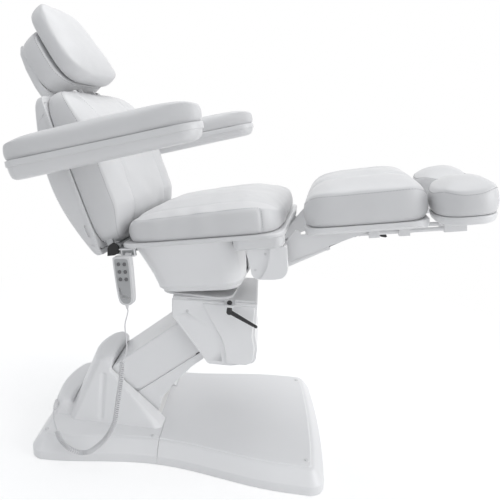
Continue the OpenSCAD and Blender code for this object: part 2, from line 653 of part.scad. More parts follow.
// The moulded bowl under the seat.
bowl_low = -54;
module bowl_form(t) {
  function ring(x0, x1, half, r, z) =
    at_z(rounded(x0 + t, x1 - t, t - half, half - t, r - t, 5), z + (z < 0 ? t : 0));
  loft([ring(-22, 176, 122, 34, bowl_low), ring(-40, 188, 140, 42, bowl_low + 9),
    ring(-52, 196, 152, 46, bowl_low + 21), ring(-54, 194, 150, 46, bowl_low + 27),
    ring(-62, 198, 160, 46, 10), ring(-78, 198, 186, 46, 70),
    ring(-88, 192, 208, 42, band_low - gap + (t > 0 ? 3 : 0))]);
}
module seat_bowl() color(white) tilted() difference() {
  bowl_form(0);
  bowl_form(cover_t);
  // the floor's opening, round the swivel plate and the tilt motor
  translate([-64, -84, bowl_low - 10]) cube([232, 168, 34]);
  // notches for the seat frame's members and the motors
  for (y = [-1, 1]) translate([-140, y * rail_y - 17, band_low - rail_t - 2]) cube([420, 34, 40]);
  translate([-120, back_side - 15, 34]) cube([60, 30, 90]);
  translate([180, -24, bowl_low - 10]) cube([40, 48, 200]);
}

// The seat's board, and the lip under its front.
module seat_shell() color(white) tilted() difference() {
  half = seat_w / 2;
  union() {
    loft([for (k = [[3, band_low], [0, band_low + 3], [0, band_z - 2], [2, band_z]])
      at_z(rounded(seat_x0 + k[0], seat_x1 - k[0], k[0] - half, half - k[0], 42, 6), k[1])]);
    loft([for (k = [[10, 87], [3, 98], [3, band_low + 2]])
      at_z(rounded(208, seat_x1 - k[0], k[0] - half, half - k[0], 20, 6), k[1])]);
  }
  // room behind the lip for the frame and the leg rest's arms
  translate([150, -194, band_low - 60]) cube([200, 388, 60]);
}

seat_us = [-1, -0.93, -0.8, -0.5, -0.1, 0.3, 0.65, 0.86, 1];
seat_vs = [-1, -0.9, -0.74, -0.4, 0, 0.4, 0.74, 0.9, 1];
function seat_edge_at(u) = seat_edge + 6 * u - 4 - 24 * pow(max(u, 0), 6) - 22 * pow(max(-u, 0), 10);
module seat_cushion() color(white) tilted() translate([(seat_x0 + seat_x1) / 2 + 1, 0, band_z + gap])
  pad(seat_us, seat_vs, 7, function (u, v) [(seat_l / 2 - 9) * u, (seat_w / 2 - 5) * v],
    function (u, v) seat_edge_at(u) + seat_crown * (1 - pow(abs(u), 4)) * (1 - pow(abs(v), 4))
      - 5 * exp(-pow((abs(v) - 0.74) / 0.09, 2)) * (1 - pow(abs(u), 4)),
    function (u) seat_edge_at(u), 3, 4);

// The leg hinge's covers, one each side: a flat rear part and a raised round front part.
cover_y = 211;
hinge_front = concat([[300, 4]], arc(308, 32, 28, -70, 0, 5), [[337, 86.6]]);
module hinge_covers() color(white) tilted() for (y = [-1, 1]) difference() {
  union() {
    plate_xz(concat([[235, 86.6], [244, 30]], arc(264, 25, 20, 180, 262, 4), hinge_front), y * cover_y, 22);
    plate_xz(concat([[298, 86.6], [295, 66], [287, 38], [274, 16], [264, 5.5]], hinge_front),
      y * (cover_y + 3), 26);
  }
  // hollow towards the middle
  hull() {
    translate([242, y > 0 ? 180 : -218, 34]) cube([88, 38, 80]);
    translate([262, y > 0 ? 180 : -218, 10]) cube([56, 38, 60]);
  }
  for (p = hinge_screws) pin_y(p, y * cover_y, 60, 6 + 2 * gap);
}
hinge_screws = [[284, 70], [255, 30]];
module hinge_cover_screws() color(pale) tilted() for (y = [-1, 1], p = hinge_screws) difference() {
  pin_y(p, y * (cover_y + (p.x > 280 ? 9 : 8)), 6, 6);
  pin_y(p, y * (cover_y + 13), 4, 3);
}

// The black boots round the ends of the back's hinge.
boot_y = back_w / 2 - 8.5;
boot_w = 12;
module hinge_boots() color(black) tilted() for (y = [-1, 1]) difference() {
  hull() {
    pin_y(back_hinge, y * boot_y, boot_w, 32);
    plate_xz([back_hinge + [-20, -17], back_hinge + [4, -14], [back_hinge.x + 15, band_low - gap - 4],
      [back_hinge.x + 15, band_low - gap], back_hinge + [0, 18]], y * boot_y, boot_w - 3);
  }
  pin_y(back_hinge, y * (boot_y - 4), boot_w, hinge_d + 2 * gap);
}

// The wire bail under the seat that the hand control hangs on.
hook_x = -98;
hook_w = 38;
hook_y = -240;
hook_z = band_low - 22;
hook_d = 4;
module handset_hook() color(white) tilted() {
  for (x = [hook_x, hook_x + hook_w]) {
    translate([x, hook_y, hook_z]) cylinder(h = band_low - gap - hook_z, d = hook_d, $fn = 16);
    translate([x, hook_y, hook_z]) sphere(d = hook_d, $fn = 16);
  }
  bar_x([hook_x, hook_z], hook_y, hook_w, hook_d);
  translate([hook_x + 4, hook_y - 4, band_low - gap - 4]) cube([hook_w - 8, 8, 4]);
  for (x = [hook_x, hook_x + hook_w]) translate([x - 5, hook_y - 4, band_low - gap - 3]) cube([10, 8, 3]);
}

// ---------- back motor, under the seat ----------

back_side = 60;
back_crank = [-23, -58];           // from the back's hinge to the crank's pin
back_line = back_hinge.y + back_crank.y;
back_rod_d = 16;
module back_motor() color(grey) tilted() difference() {
  union() {
    bar_x([34, back_line], back_side, 110, 30);
    translate([122, back_side - 16 + gap, back_line - 15]) cube([36, 32 - 2 * gap, 40]);
  }
  bar_x([20, back_line], back_side, 100, back_rod_d + 2 * gap);
}
module back_rod() color(steel) tilted() {
  x = back_hinge.x + back_crank.x;
  translate([x - 12, back_side - 9, back_line - 13]) cube([24, 18, 26]);
  bar_x([x + 11, back_line], back_side, 56 - x - 11, back_rod_d);
}

// ---------- back, in its own leaned frame: z along the back, x to the front ----------

bar_y = 70;                        // the head rest's bars
bar_d = 12;
head_foot = [-20, back_l + 8];     // the head rest's tilt axis
arm_fix = [-55, 266];              // the arms' pivots
arm_pin_d = 12;
arm_in = arm_y - arm_pad_w / 2;    // inner face of an arm
bracket_y = arm_in + 13;           // outer end of the arms' brackets
arm_pin_l = 39;                    // how far the pins go into the arms
frame_front = -2;                  // front faces of the back's steel frame
module back_frame() color(steel) {
  leaned() difference() {
    union() {
      for (y = [-1, 1]) {
        translate([frame_front - 20, y * upright_y - 4, -14]) cube([20, 8, 300]);
        pin_y([0, 0], y * upright_y, 8, 30);
        translate([arm_fix.x - 11, y > 0 ? upright_y : -bracket_y, arm_fix.y - 11])
          cube([22, bracket_y - upright_y, 22]);
        translate([arm_fix.x - 5, y * upright_y - 4, arm_fix.y - 20]) cube([44, 8, 40]);
        pin_y(arm_fix, y * (arm_in + arm_pin_l / 2), arm_pin_l, arm_pin_d);
        // sockets of the head rest's bars
        translate([head_foot.x - 11, y * bar_y - 11, 262]) cube([22, 22, back_l - 300]);
      }
      for (z = [40, 262]) translate([frame_front - 20, -upright_y, z]) cube([20, 2 * upright_y, 20]);
      pin_y([0, 0], 0, 2 * upright_y, hinge_tube_d);
    }
    for (y = [-1, 1]) {
      pin_y([0, 0], y * upright_y, 20, hinge_d + 2 * loose);
      translate([head_foot.x, y * bar_y, 240]) cylinder(h = 400, d = bar_d + 2 * loose);
    }
  }
  // the crank of the back motor, with studs that face its rod's block
  tilted() for (y = [-1, 1]) {
    plate_xz([back_hinge + [-10, 0], back_hinge + back_crank + [-8, 0], back_hinge + back_crank + [0, -8],
      back_hinge + back_crank + [8, 0], back_hinge + [10, 0]], back_side + y * 14, 5);
    pin_y(back_hinge + back_crank, back_side + y * (10.4 + gap / 2), 2.6 - gap, 8);
  }
}

// The bowed rear shell of the back.
front_t = 38;                      // the joint of shell and cushion lies this far behind the hinge
function back_bow(s) = 14 + 64 * sin(180 * min(1, max(0, (s + 30) / (back_l + 60))));
module back_shell() color(white) leaned() difference() {
  half = back_w / 2;
  ring = function (s, w) let (d = back_bow(s), r = 20, x = -front_t - d + r) at_z(concat(
    [[-front_t, -w], [-front_t, w]], arc(x, w - r, r, 90, 180, 4), arc(x, r - w, r, 180, 270, 4)), s);
  union() {
    loft([for (k = [[-4, 14], [4, 4], [16, 0], [70, 0], [140, 0], [210, 0], [280, 0], [350, 0],
      [back_l - 26, 1], [back_l - 8, 8], [back_l - 2, 18]]) ring(k[0], half - k[1])]);
  }
  // hollow towards the cushion
  hull() {
    translate([-front_t - 16, 8 - half, 10]) cube([40, back_w - 16, back_l - 30]);
    translate([-front_t - 50, 40 - half, 110]) cube([40, back_w - 80, back_l - 220]);
  }
  for (y = [-1, 1]) translate([arm_fix.x - 14, y * half - 36, arm_fix.y - 14]) cube([28, 72, 28]);
}

back_us = [-1, -0.86, -0.6, -0.25, 0.1, 0.45, 0.75, 0.92, 1];
back_vs = [-1, -0.86, -0.68, -0.55, -0.3, 0, 0.3, 0.55, 0.68, 0.86, 1];
// Height of the back cushion's sewn edge: low at its foot, full above it, thin at its top.
function back_edge_at(u) = 92 - 44 * pow(max(-u - 0.55, 0) / 0.45, 1.3) - 52 * pow(max(u, 0), 2.4);
module back_cushion() color(white) leaned() difference() {
  translate([-front_t + gap, 0, back_l / 2 + 6]) rotate([0, 90, 0]) rotate([0, 0, 180])
    pad(back_us, back_vs, 7, function (u, v) [(back_l / 2 - 3) * u, (back_w / 2 - 4) * v],
      function (u, v) back_edge_at(u) + (1 - pow(abs(u), 4)) * (back_crown * (1 - pow(abs(v), 6))
        - 9 * exp(-pow((abs(v) - 0.55) / 0.1, 2)) - 8 * (1 - v * v)),
      function (u) back_edge_at(u), 3, 4);
  // recess for the frame, the sockets and the head rest's bars
  deep = front_t + 10 + frame_front + gap;
  translate([-front_t - 10, -upright_y - 6, -30]) cube([deep, 2 * upright_y + 12, 330]);
  translate([-front_t - 10, -bar_y - 14, 250]) cube([deep, 2 * bar_y + 28, 400]);
  for (y = [-1, 1]) translate([-front_t - 10, y * (upright_y + 14) - 22, -30]) cube([front_t + 36, 44, 52]);
  translate([-front_t - 10, -upright_y - 6, -30]) cube([front_t + 22, 2 * upright_y + 12, 42]);
}

// ---------- arms ----------

arm_pivot = 79;                    // from the rear end of the arm to its pivot
arm_slope = 11.1;
arm_deep = 12;                     // how much deeper the shell is at its rear
arm_foot = turned_place(back_hinge) + turn(arm_fix, tilt_rest + back_rest);
module armed(s) turned() translate([arm_foot.x, s * arm_y, arm_foot.y]) rotate([0, -arm_slope, 0])
  translate([-arm_pivot, 0, 0]) children();

arm_low = 28;                      // from the pivot up to the joint of shell and pad
function arm_ring(inset, z) = let (r = arm_pad_w / 2 - inset)
  at_z(concat(arc(arm_l - arm_pad_w / 2, 0, r, -90, 90, 12), arc(arm_pad_w / 2, 0, r, 90, 270, 12)), z);
module arm_shell(s) color(white) armed(s) difference() {
  sloped = function (inset, z) [for (p = arm_ring(inset, 0)) [p.x, p.y, z - arm_deep * (1 - p.x / arm_l)]];
  loft([sloped(18, -10), sloped(8, -4), sloped(2, 6), arm_ring(0, 20), arm_ring(2, arm_low - gap)]);
  pin_y([arm_pivot, 0], -s * arm_pad_w / 2, 2 * (arm_pin_l + 1), arm_pin_d + 2 * loose);
  translate([arm_pivot - 24, s > 0 ? -arm_pad_w / 2 - 1 : arm_pad_w / 2 - 14, -30]) cube([48, 15, 54]);
}
arm_us = [-1, -0.93, -0.7, -0.35, 0, 0.35, 0.7, 0.93, 1];
arm_vs = [-1, -0.6, 0, 0.6, 1];
module arm_pad(s) color(white) armed(s) translate([arm_l / 2, 0, arm_low])
  pad(arm_us, arm_vs, 3.2, function (u, v) [(arm_l / 2 - 1) * u, (arm_pad_w / 2 - 2) * v],
    function (u, v) 36 + 20 * (1 - pow(abs(u), 8)) * (1 - pow(abs(v), 3)), function (u) 34, 2, 3);
module arm_shell_right() arm_shell(-1);
module arm_pad_right() arm_pad(-1);
module arm_shell_left() arm_shell(1);
module arm_pad_left() arm_pad(1);

// ---------- head rest, in its own frame: z along the pad, x to the front ----------

module headed() leaned() translate([head_foot.x, 0, head_foot.y]) rotate([0, back_rest - head_lean, 0])
  children();
eye_d = 18;
module headrest_bars() color(steel) leaned() {
  for (y = [-1, 1]) {
    translate([head_foot.x, y * bar_y, 248]) cylinder(h = head_foot.y - 248, d = bar_d);
    pin_y(head_foot, y * bar_y, 14, eye_d);
  }
  pin_y(head_foot, 0, 2 * bar_y + 20, 8);
}
head_lug_y = 40;
head_back = 43;                    // the joint of its shell and rear cushion lies this far behind the axis
function head_half(s) = 152 - 46 * pow(max(0, s) / head_pad_l, 1.4);
module headrest_shell() color(white) headed() difference() {
  union() {
    loft([for (k = [[14, 8, 16], [24, 1, 24], [70, 0, 26], [130, 2, 24], [180, 8, 19], [200, 16, 12]])
      let (w = head_half(k[0]) - 4 - k[1], x = 9 - head_back - k[2])
      at_z(concat([[-head_back, -w], [-head_back, w]], arc(x, w - 9, 9, 90, 180, 3),
        arc(x, 9 - w, 9, 180, 270, 3)), k[0])]);
    for (y = [-1, 1]) plate_xz([[-head_back - 4, 46], [-head_back - 4, 16], [-8, -9], [9, -9], [9, 9],
      [10 - head_back, 46]], y * head_lug_y, 8);
  }
  pin_y([0, 0], 0, 200, 8 + 2 * loose);
}
head_us = [-1, -0.88, -0.5, 0, 0.5, 0.88, 1];
head_vs = [-1, -0.8, -0.35, 0.35, 0.8, 1];
module head_pad(x, s, l, edge, crown) translate([x, 0, s + l / 2]) rotate([0, 90, 0]) rotate([0, 0, 180])
  pad(head_us, head_vs, 4, function (u, v) [l / 2 * u, head_half(l * (1 + u) / 2) * v],
    function (u, v) edge + crown * (1 - pow(abs(u), 4)) * (1 - pow(abs(v), 4)), function (u) edge, 2, 4);
module headrest_cushion() color(white) headed() difference() {
  head_pad(gap - head_back, 20, 190, 60, 9);
  translate([-head_back - 10, -bar_y - 24, 0]) cube([head_back + 22, 2 * bar_y + 48, 50]);
}
module headrest_pad() color(white) headed() head_pad(70 - head_back, 8, head_pad_l, 44, 26);

// ---------- leg rest, in the tilted frame ----------

leg_x0 = 378;
leg_x1 = leg_x0 + leg_l;
leg_low = 104;
leg_t = 18;
foot_y = 131;                      // the foot pads, from the middle
foot_rod_d = 10;
foot_rod_y = 30;                   // the foot pads' rods, from the pad's middle
foot_rod_z = leg_low - 12;
guide_w = 18;                      // the rods' guides
module leg_frame() color(white) tilted() difference() {
  union() {
    for (y = [-1, 1]) {
      plate_xz([leg_hinge + [-10, -12], leg_hinge + [12, -12], [leg_x0 + 150, leg_low - 4],
        [leg_x0 + 150, leg_low + 2], [leg_x0 + 4, leg_low + 2], [leg_x0 - 20, leg_low + 12],
        [leg_x0 - 38, 98]], y * leg_arm_y, 6);
      pin_y(leg_hinge, y * leg_arm_y, 6, 32);
      for (x = [leg_x0 + 150, leg_x1 - 68], k = [-1, 1])
        translate([x, y * foot_y + k * foot_rod_y - guide_w / 2, foot_rod_z - 10]) cube([24, guide_w, 24]);
      // bracket of the gas spring, with studs that face its head
      plate_xz([spring_head + [-10, -8], spring_head + [10, -8], [spring_head.x + 24, leg_low + 2],
        [spring_head.x - 24, leg_low + 2]], y * 19, 4);
      pin_y(spring_head, y * (14 + gap / 2), 6 - gap, 8);
    }
    hull() {
      translate([leg_x0 + 8, 14 - leg_w / 2, leg_low]) cube([leg_l - 18, leg_w - 28, 4]);
      translate([leg_x0 + 2, 3 - leg_w / 2, leg_low + 8]) cube([leg_l - 6, leg_w - 6, leg_t - 8]);
    }
  }
  for (y = [-1, 1]) {
    pin_y(leg_hinge, y * leg_arm_y, 20, hinge_d + 2 * loose);
    for (k = [-1, 1])
      bar_x([leg_x0 + 100, foot_rod_z], y * foot_y + k * foot_rod_y, 300, foot_rod_d + 2 * loose);
  }
}
leg_us = [-1, -0.88, -0.6, -0.2, 0.2, 0.6, 0.88, 1];
leg_vs = [-1, -0.85, -0.5, -0.34, -0.18, 0, 0.18, 0.34, 0.5, 0.85, 1];
function leg_edge_at(u) = leg_edge - 30 * pow(abs(u), 8);
module leg_cushion() color(white) tilted() translate([(leg_x0 + leg_x1) / 2, 0, leg_low + leg_t + gap])
  pad(leg_us, leg_vs, 6, function (u, v) [(leg_l / 2 - 1) * u, (leg_w / 2 - 2) * v],
    function (u, v) leg_edge_at(u) + 32 * (1 - pow(abs(u), 4)) * (1 - pow(abs(v), 4))
      - 16 * exp(-pow((abs(v) - 0.34) / 0.1, 2)) * (1 - pow(abs(u), 6)),
    function (u) leg_edge_at(u), 3, 6);

// Gas spring, from the bracket under the seat to the bracket under the leg rest.
spring_v = spring_head - spring_foot;
spring_len = norm(spring_v);
module along_spring() tilted() translate([spring_foot.x, 0, spring_foot.y])
  rotate([0, -atan2(spring_v.y, spring_v.x), 0]) children();
tube_l = 180;
spring_play = 0.3;
module spring_tube() color(white) along_spring() difference() {
  union() {
    bar_x([14, 0], 0, tube_l - 24, spring_d);
    pin_y([0, 0], 0, 16, 20);
    translate([4, -8, -8]) cube([14, 16, 16]);
    bar_x([tube_l - 10, 0], 0, 10, spring_d + 3);
  }
  pin_y([0, 0], 0, 40, 8 + 2 * loose);
  bar_x([60, 0], 0, 200, spring_rod_d + 2 * spring_play);
}
head_cheek = 11;                   // half width of the release head
module spring_rod() color(grey) along_spring() difference() {
  union() {
    bar_x([140, 0], 0, spring_len - 160, spring_rod_d);
    bar_x([spring_len - 46, 0], 0, 14, 16);
    translate([spring_len - 34, -head_cheek, -9]) cube([41, 2 * head_cheek, 19]);
    pin_y([spring_len - 18, -3], 0, 2 * head_cheek - 1, 4);
  }
  difference() {
    translate([spring_len - 27, -6, -20]) cube([60, 12, 23]);
    pin_y([spring_len - 18, -3], 0, 40, 4);
  }
}
module release_paddle() color(black) along_spring() difference() {
  union() {
    hull() {
      pin_y([spring_len - 18, -3], 0, 12 - 2 * gap, 11);
      translate([spring_len + 18, gap - 6, -34]) cube([5, 12 - 2 * gap, 8]);
    }
    hull() {
      translate([spring_len + 14, -8, -33]) cube([6, 16, 5]);
      translate([spring_len + 24, -9, -40]) cube([5, 18, 5]);
    }
  }
  pin_y([spring_len - 18, -3], 0, 40, 4 + 2 * loose);
}

// Foot pads: each on a plate with two rods that slide in the leg rest's guides.
foot_x0 = leg_x1 + 5;
foot_low = 108;
foot_t = 19;
module foot_plate(s) color(white) tilted() {
  translate([foot_x0 + foot_l / 2, s * foot_y, foot_low])
    loft([for (k = [[12, 0], [4, 6], [2, 16], [3, foot_t]]) [for (i = [0:31]) let (a = 11.25 * i)
      [(foot_l / 2 - k[0]) * sign(cos(a)) * pow(abs(cos(a)), 0.72),
       (foot_w / 2 - k[0]) * sign(sin(a)) * pow(abs(sin(a)), 0.72), k[1]]]]);
  for (k = [-1, 1]) {
    bar_x([leg_x0 + 42, foot_rod_z], s * foot_y + k * foot_rod_y, foot_x0 + 60 - leg_x0 - 42, foot_rod_d);
    translate([foot_x0 + 22, s * foot_y + k * foot_rod_y - 8, foot_rod_z - 8]) cube([46, 16, 26]);
  }
}
foot_edge = 52;                    // height of the foot pads' sewn edge
foot_us = [-1, -0.7, 0, 0.7, 1];
foot_vs = [-1, -0.8, -0.3, 0.3, 0.8, 1];
module foot_pad(s) color(white) tilted()
  translate([foot_x0 + foot_l / 2, s * foot_y, foot_low + foot_t + gap])
    pad(foot_us, foot_vs, 2.7, function (u, v) [(foot_l / 2 - 2) * u, (foot_w / 2 - 2) * v],
      function (u, v) foot_edge + 32 * (1 - pow(abs(u), 2.8)) * (1 - pow(abs(v), 2.8)),
      function (u) foot_edge, 3, 4);
module foot_plate_right() foot_plate(-1);
module foot_pad_right() foot_pad(-1);
module foot_plate_left() foot_plate(1);
module foot_pad_left() foot_pad(1);

// ---------- hand control ----------

// Its own frame: z down its length from the top, x across, y through. The keys face -y.
handset_lean = 5;
wire_x = 12;                       // the hook, from the handset's middle
wire_y = handset_t / 2 + 4.2;      // and how far the wire lies behind it
wire_z = -3;
hook_mid = turned_place([hook_x + hook_w / 2, hook_z]);
handset_at = [hook_mid.x - wire_x, hook_y - wire_y, hook_mid.y - wire_z];
module held() turned() translate(handset_at) rotate([0, -handset_lean, 0]) children();
// A place of the handset's frame, in the row's frame.
function held_place(p) = let (q = turn([p.x, p.z], handset_lean),
    r = turn([handset_at.x + q.x, handset_at.y + p.y], swivel_rest))
  [swivel_x + r.x, r.y, handset_at.z + q.y];
function handset_outline(t) = let (w = handset_w / 2 - t) [[4 - w, -t], [w - 6, -t], [w, -t - 6],
  [w - 2, t + 12 - handset_l], [w - 10, t - handset_l], [16 - w, t - handset_l], [5 - w, t + 14 - handset_l],
  [-w, -t - 4]];
relief_l = 14;
module handset_body() color(pale) held() difference() {
  union() {
    hull() {
      plate_xz(handset_outline(0), 0, handset_t - 6);
      plate_xz(handset_outline(3), 0, handset_t);
    }
    translate([-1, 0, -handset_l - relief_l]) cylinder(h = relief_l + 2, d1 = 6, d2 = 11);
    translate([wire_x - 8, handset_t / 2 - 1, -26]) cube([16, 9.6, 31]);
  }
  // the hook's slot, open below, over the bail's wire
  translate([wire_x - 10, wire_y - hook_d / 2 - gap, -60]) cube([20, hook_d + 2 * gap, 60 + wire_z + 2.9]);
  // the opening at the lower end, with an upright and a level leg
  plate_xz([[-18, -86], [-10, -86], [-8, -106], [14, -110], [14, -120], [-15, -115]], 0, 60);
  for (b = button_places) translate([b.x, 5 - handset_t / 2, b.y]) rotate([90, 0, 0])
    cylinder(h = 20, d = button_d + 2 * loose);
}
button_d = 11;
button_places = [for (r = [0:2], c = [-1, 1]) [c * 8.5 + r * 0.6, -20 - 21 * r]];
module button(i) color(grey) held() translate([button_places[i].x, -handset_t / 2, button_places[i].y])
  rotate([90, 0, 0]) {
    translate([0, 0, -3.2]) cylinder(h = 4.4, d = button_d);
    translate([0, 0, 1]) cylinder(h = 0.8, d = button_d - 2);
  }
module button_1() button(0);
module button_2() button(1);
module button_3() button(2);
module button_4() button(3);
module button_5() button(4);
module button_6() button(5);

// ---------- cord ----------

lead_play = 0.8;                   // room between the cord's first ring and the handset's relief
lead_z = -handset_l - relief_l - lead_play;
cord_top = held_place([-1, 0, lead_z]);
cord_next = held_place([-1, 0, lead_z - 10]);
coil_line = [[-135.5, -260, 336], [-137, -262, 310], [-139, -265, 280], [-143, -268, 250],
  [-147, -272, 221], [-151, -276, 190], [-155, -280, 161], [-163, -284, 137], [-175, -288, 115],
  [-188, -292, 96], [-204, -295, 80], [-218, -298, 68], [-233, -300, 59], [-258, -300, 54],
  [-290, -296, 60], [-312, -288, 68], [-332, -272, 75], [-347, -252, 79]];
lead_line = [cord_top, cord_next, [-129, -247, 440], [-125.5, -251, 405], [-123, -255, 378],
  [-125, -257, 360], [-131, -258.6, 347], coil_line[0]];
gland_mouth = [-396, -160, 91];
gland_in = [-403, -126, 95];
gland_v = gland_in - gland_mouth;
tail_line = [coil_line[17], [-356, -238, 80], [-368, -220, 81.5], [-380, -200, 83],
  gland_mouth - 10 * unit(gland_v), gland_mouth];

// A smooth curve through points, for t from 0 to 1.
function cubic(p, t) = let (n = len(p) - 1, s = min(floor(t * n), n - 1), f = t * n - s,
    a = p[max(s - 1, 0)], b = p[s], c = p[s + 1], d = p[min(s + 2, n)])
  0.5 * ((2 * b) + (c - a) * f + (2 * a - 5 * b + 4 * c - d) * f * f + (3 * b - a - 3 * c + d) * f * f * f);
function unit(v) = v / norm(v);
// A tube of n sides and diameter d along points.
module tube(points, d, n) {
  m = len(points);
  rings = [for (i = [0:m - 1]) let (t = unit(points[min(i + 1, m - 1)] - points[max(i - 1, 0)]),
      side = unit(cross(t, [0.31, 0.92, 0.24])), up = cross(side, t))
    [for (k = [0:n - 1]) let (a = 360 * k / n) points[i] + d / 2 * (cos(a) * side + sin(a) * up)]];
  polyhedron(concat([for (r = rings) each r], [points[0], points[m - 1]]), concat(
    [for (i = [0:m - 2], k = [0:n - 1]) let (l = (k + 1) % n, a = i * n)
      each [[a + k, a + n + l, a + l], [a + k, a + n + k, a + n + l]]],
    [for (k = [0:n - 1]) [m * n, k, (k + 1) % n]],
    [for (k = [0:n - 1]) let (a = (m - 1) * n) [m * n + 1, a + (k + 1) % n, a + k]]));
}
// The curl: it grows out of the middle line over its first turns and goes back over its last.
curl_r = (curl_d - cord_d) / 2;
function coil_point(t) = let (
    turns = t * curls, grow = min(1, turns / 1.5, (curls - turns) / 1.5), a = 360 * turns,
    d = unit(cubic(coil_line, min(1, t + 0.01)) - cubic(coil_line, max(0, t - 0.01))),
    side = unit(cross(d, [0.1, 0.99, 0.05])), up = cross(side, d))
  cubic(coil_line, t) + curl_r * grow * (cos(a) * side + sin(a) * up);
coil_points = [for (i = [0:curls * 8]) coil_point(i / (curls * 8))];
// Least gap between a curl and the next one, measured on the points.
coil_gap = min([for (i = [12:4:curls * 8 - 24], j = [i + 6:i + 10])
  norm(coil_points[i] - coil_points[j])]) - cord_d;
echo(coil_gap = coil_gap);
echo(cord_top = cord_top, cord_next = cord_next);
module cord_coil() color(white) tube(coil_points, cord_d, 6);
module cord_lead() color(white) tube([for (i = [0:24]) cubic(lead_line, i / 24)], cord_d, 8);
module cord_tail() color(white) tube([for (i = [0:18]) cubic(tail_line, i / 18)], cord_d, 8);

// The gland where the cord goes into the rear cover.
gland_d = 12;
module at_gland() translate(gland_mouth)
  rotate([0, acos(gland_v.z / norm(gland_v)), atan2(gland_v.y, gland_v.x)]) children();
module gland_hole() at_gland() translate([0, 0, 12]) cylinder(h = 60, d = gland_d + 2 * loose);
module cord_gland() color(white) at_gland() {
  cylinder(h = 14, d1 = 7, d2 = gland_d - 1);
  translate([0, 0, 14 - e]) cylinder(h = 30, d = gland_d);
}

// ---------- in the base ----------

inlet_w = 31;
inlet_low = 5;
inlet_h = 22;
module inlet_hole() translate([-half_l - 20, -inlet_w / 2 - gap, inlet_low - gap])
  cube([60, inlet_w + 2 * gap, inlet_h + 2 * gap]);
module mains_inlet() color(black) difference() {
  translate([-half_l + 0.5, -inlet_w / 2, inlet_low]) cube([38, inlet_w, inlet_h]);
  difference() {
    translate([-half_l - 1, 3 - inlet_w / 2, inlet_low + 3]) cube([22, inlet_w - 6, inlet_h - 6]);
    for (y = [-7, 0, 7]) translate([-half_l + 6, y - 1, inlet_low + 9]) cube([20, 2, 4]);
  }
}
module control_box() color(black) translate([100, -110, foot_seat + 6]) {
  cube([200, 220, 34]);
  translate([10, 10, 34 - e]) cube([180, 200, 6]);
  for (y = [30, 80, 130]) translate([-8, y, 8]) cube([9, 24, 14]);
}

base_frame();
base_feet();
front_cover();
rear_cover();
cover_screws();
control_box();
mains_inlet();
cord_gland();
lift_motor();
lift_rod();
lift_arm_frame();
arm_cover();
lower_link();
head_frame();
head_cover();
head_screws();
lock_lever();
swivel_frame();
tilt_motor();
tilt_rod();
seat_frame();
seat_bowl();
seat_shell();
seat_cushion();
hinge_covers();
hinge_cover_screws();
hinge_boots();
handset_hook();
back_motor();
back_rod();
back_frame();
back_shell();
back_cushion();
arm_shell_right();
arm_pad_right();
arm_shell_left();
arm_pad_left();
headrest_bars();
headrest_shell();
headrest_cushion();
headrest_pad();
leg_frame();
leg_cushion();
spring_tube();
spring_rod();
release_paddle();
foot_plate_right();
foot_pad_right();
foot_plate_left();
foot_pad_left();
handset_body();
button_1();
button_2();
button_3();
button_4();
button_5();
button_6();
cord_lead();
cord_coil();
cord_tail();
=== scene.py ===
import math

import bmesh
import bpy
import numpy as np
from mathutils import Matrix, Vector
from mathutils.bvhtree import BVHTree


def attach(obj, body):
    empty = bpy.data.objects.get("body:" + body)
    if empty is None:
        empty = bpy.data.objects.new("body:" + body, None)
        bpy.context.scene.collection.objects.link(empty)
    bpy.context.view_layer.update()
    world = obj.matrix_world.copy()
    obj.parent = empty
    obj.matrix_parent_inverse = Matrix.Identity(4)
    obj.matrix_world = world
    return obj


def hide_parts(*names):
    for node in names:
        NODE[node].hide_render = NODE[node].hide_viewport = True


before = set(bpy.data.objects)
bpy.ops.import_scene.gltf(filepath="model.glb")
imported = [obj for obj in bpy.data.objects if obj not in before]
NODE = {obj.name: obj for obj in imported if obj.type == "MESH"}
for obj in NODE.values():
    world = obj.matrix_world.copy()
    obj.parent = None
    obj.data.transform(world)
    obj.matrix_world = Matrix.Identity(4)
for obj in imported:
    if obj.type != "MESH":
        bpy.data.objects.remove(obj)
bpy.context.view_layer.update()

MM = 0.001
scene = bpy.context.scene
scene.view_settings.view_transform = "Standard"


def added(name, data):
    """A new object in the scene."""
    o = bpy.data.objects.new(name, data)
    scene.collection.objects.link(o)
    return o


def give(thing, **values):
    for key, value in values.items():
        setattr(thing, key, value)
    return thing


# ---------- camera ----------

cam = added("camera", bpy.data.cameras.new("camera"))
scene.camera = cam
give(cam.data, lens=34.9, sensor_width=36, shift_x=0.1696, clip_start=0.05, clip_end=60)
cam.location = (0.219, -1.4448, 0.971)
cam.rotation_euler = (math.radians(90 - 14.36), 0, math.radians(11.11))


# ---------- frames of the CAD model's bodies at rest ----------

def shift(x=0, y=0, z=0):
    """A move in millimetres."""
    return Matrix.Translation((x * MM, y * MM, z * MM))


def tip(angle):
    """Turns +X up by that angle."""
    return Matrix.Rotation(math.radians(-angle), 4, "Y")


def hinged(m, at, angle):
    """A frame tipped on a hinge at (x, z) of another frame."""
    return m @ shift(at[0], 0, at[1]) @ tip(angle)


def turn2(p, angle):
    a = math.radians(angle)
    return (p[0] * math.cos(a) - p[1] * math.sin(a), p[0] * math.sin(a) + p[1] * math.cos(a))


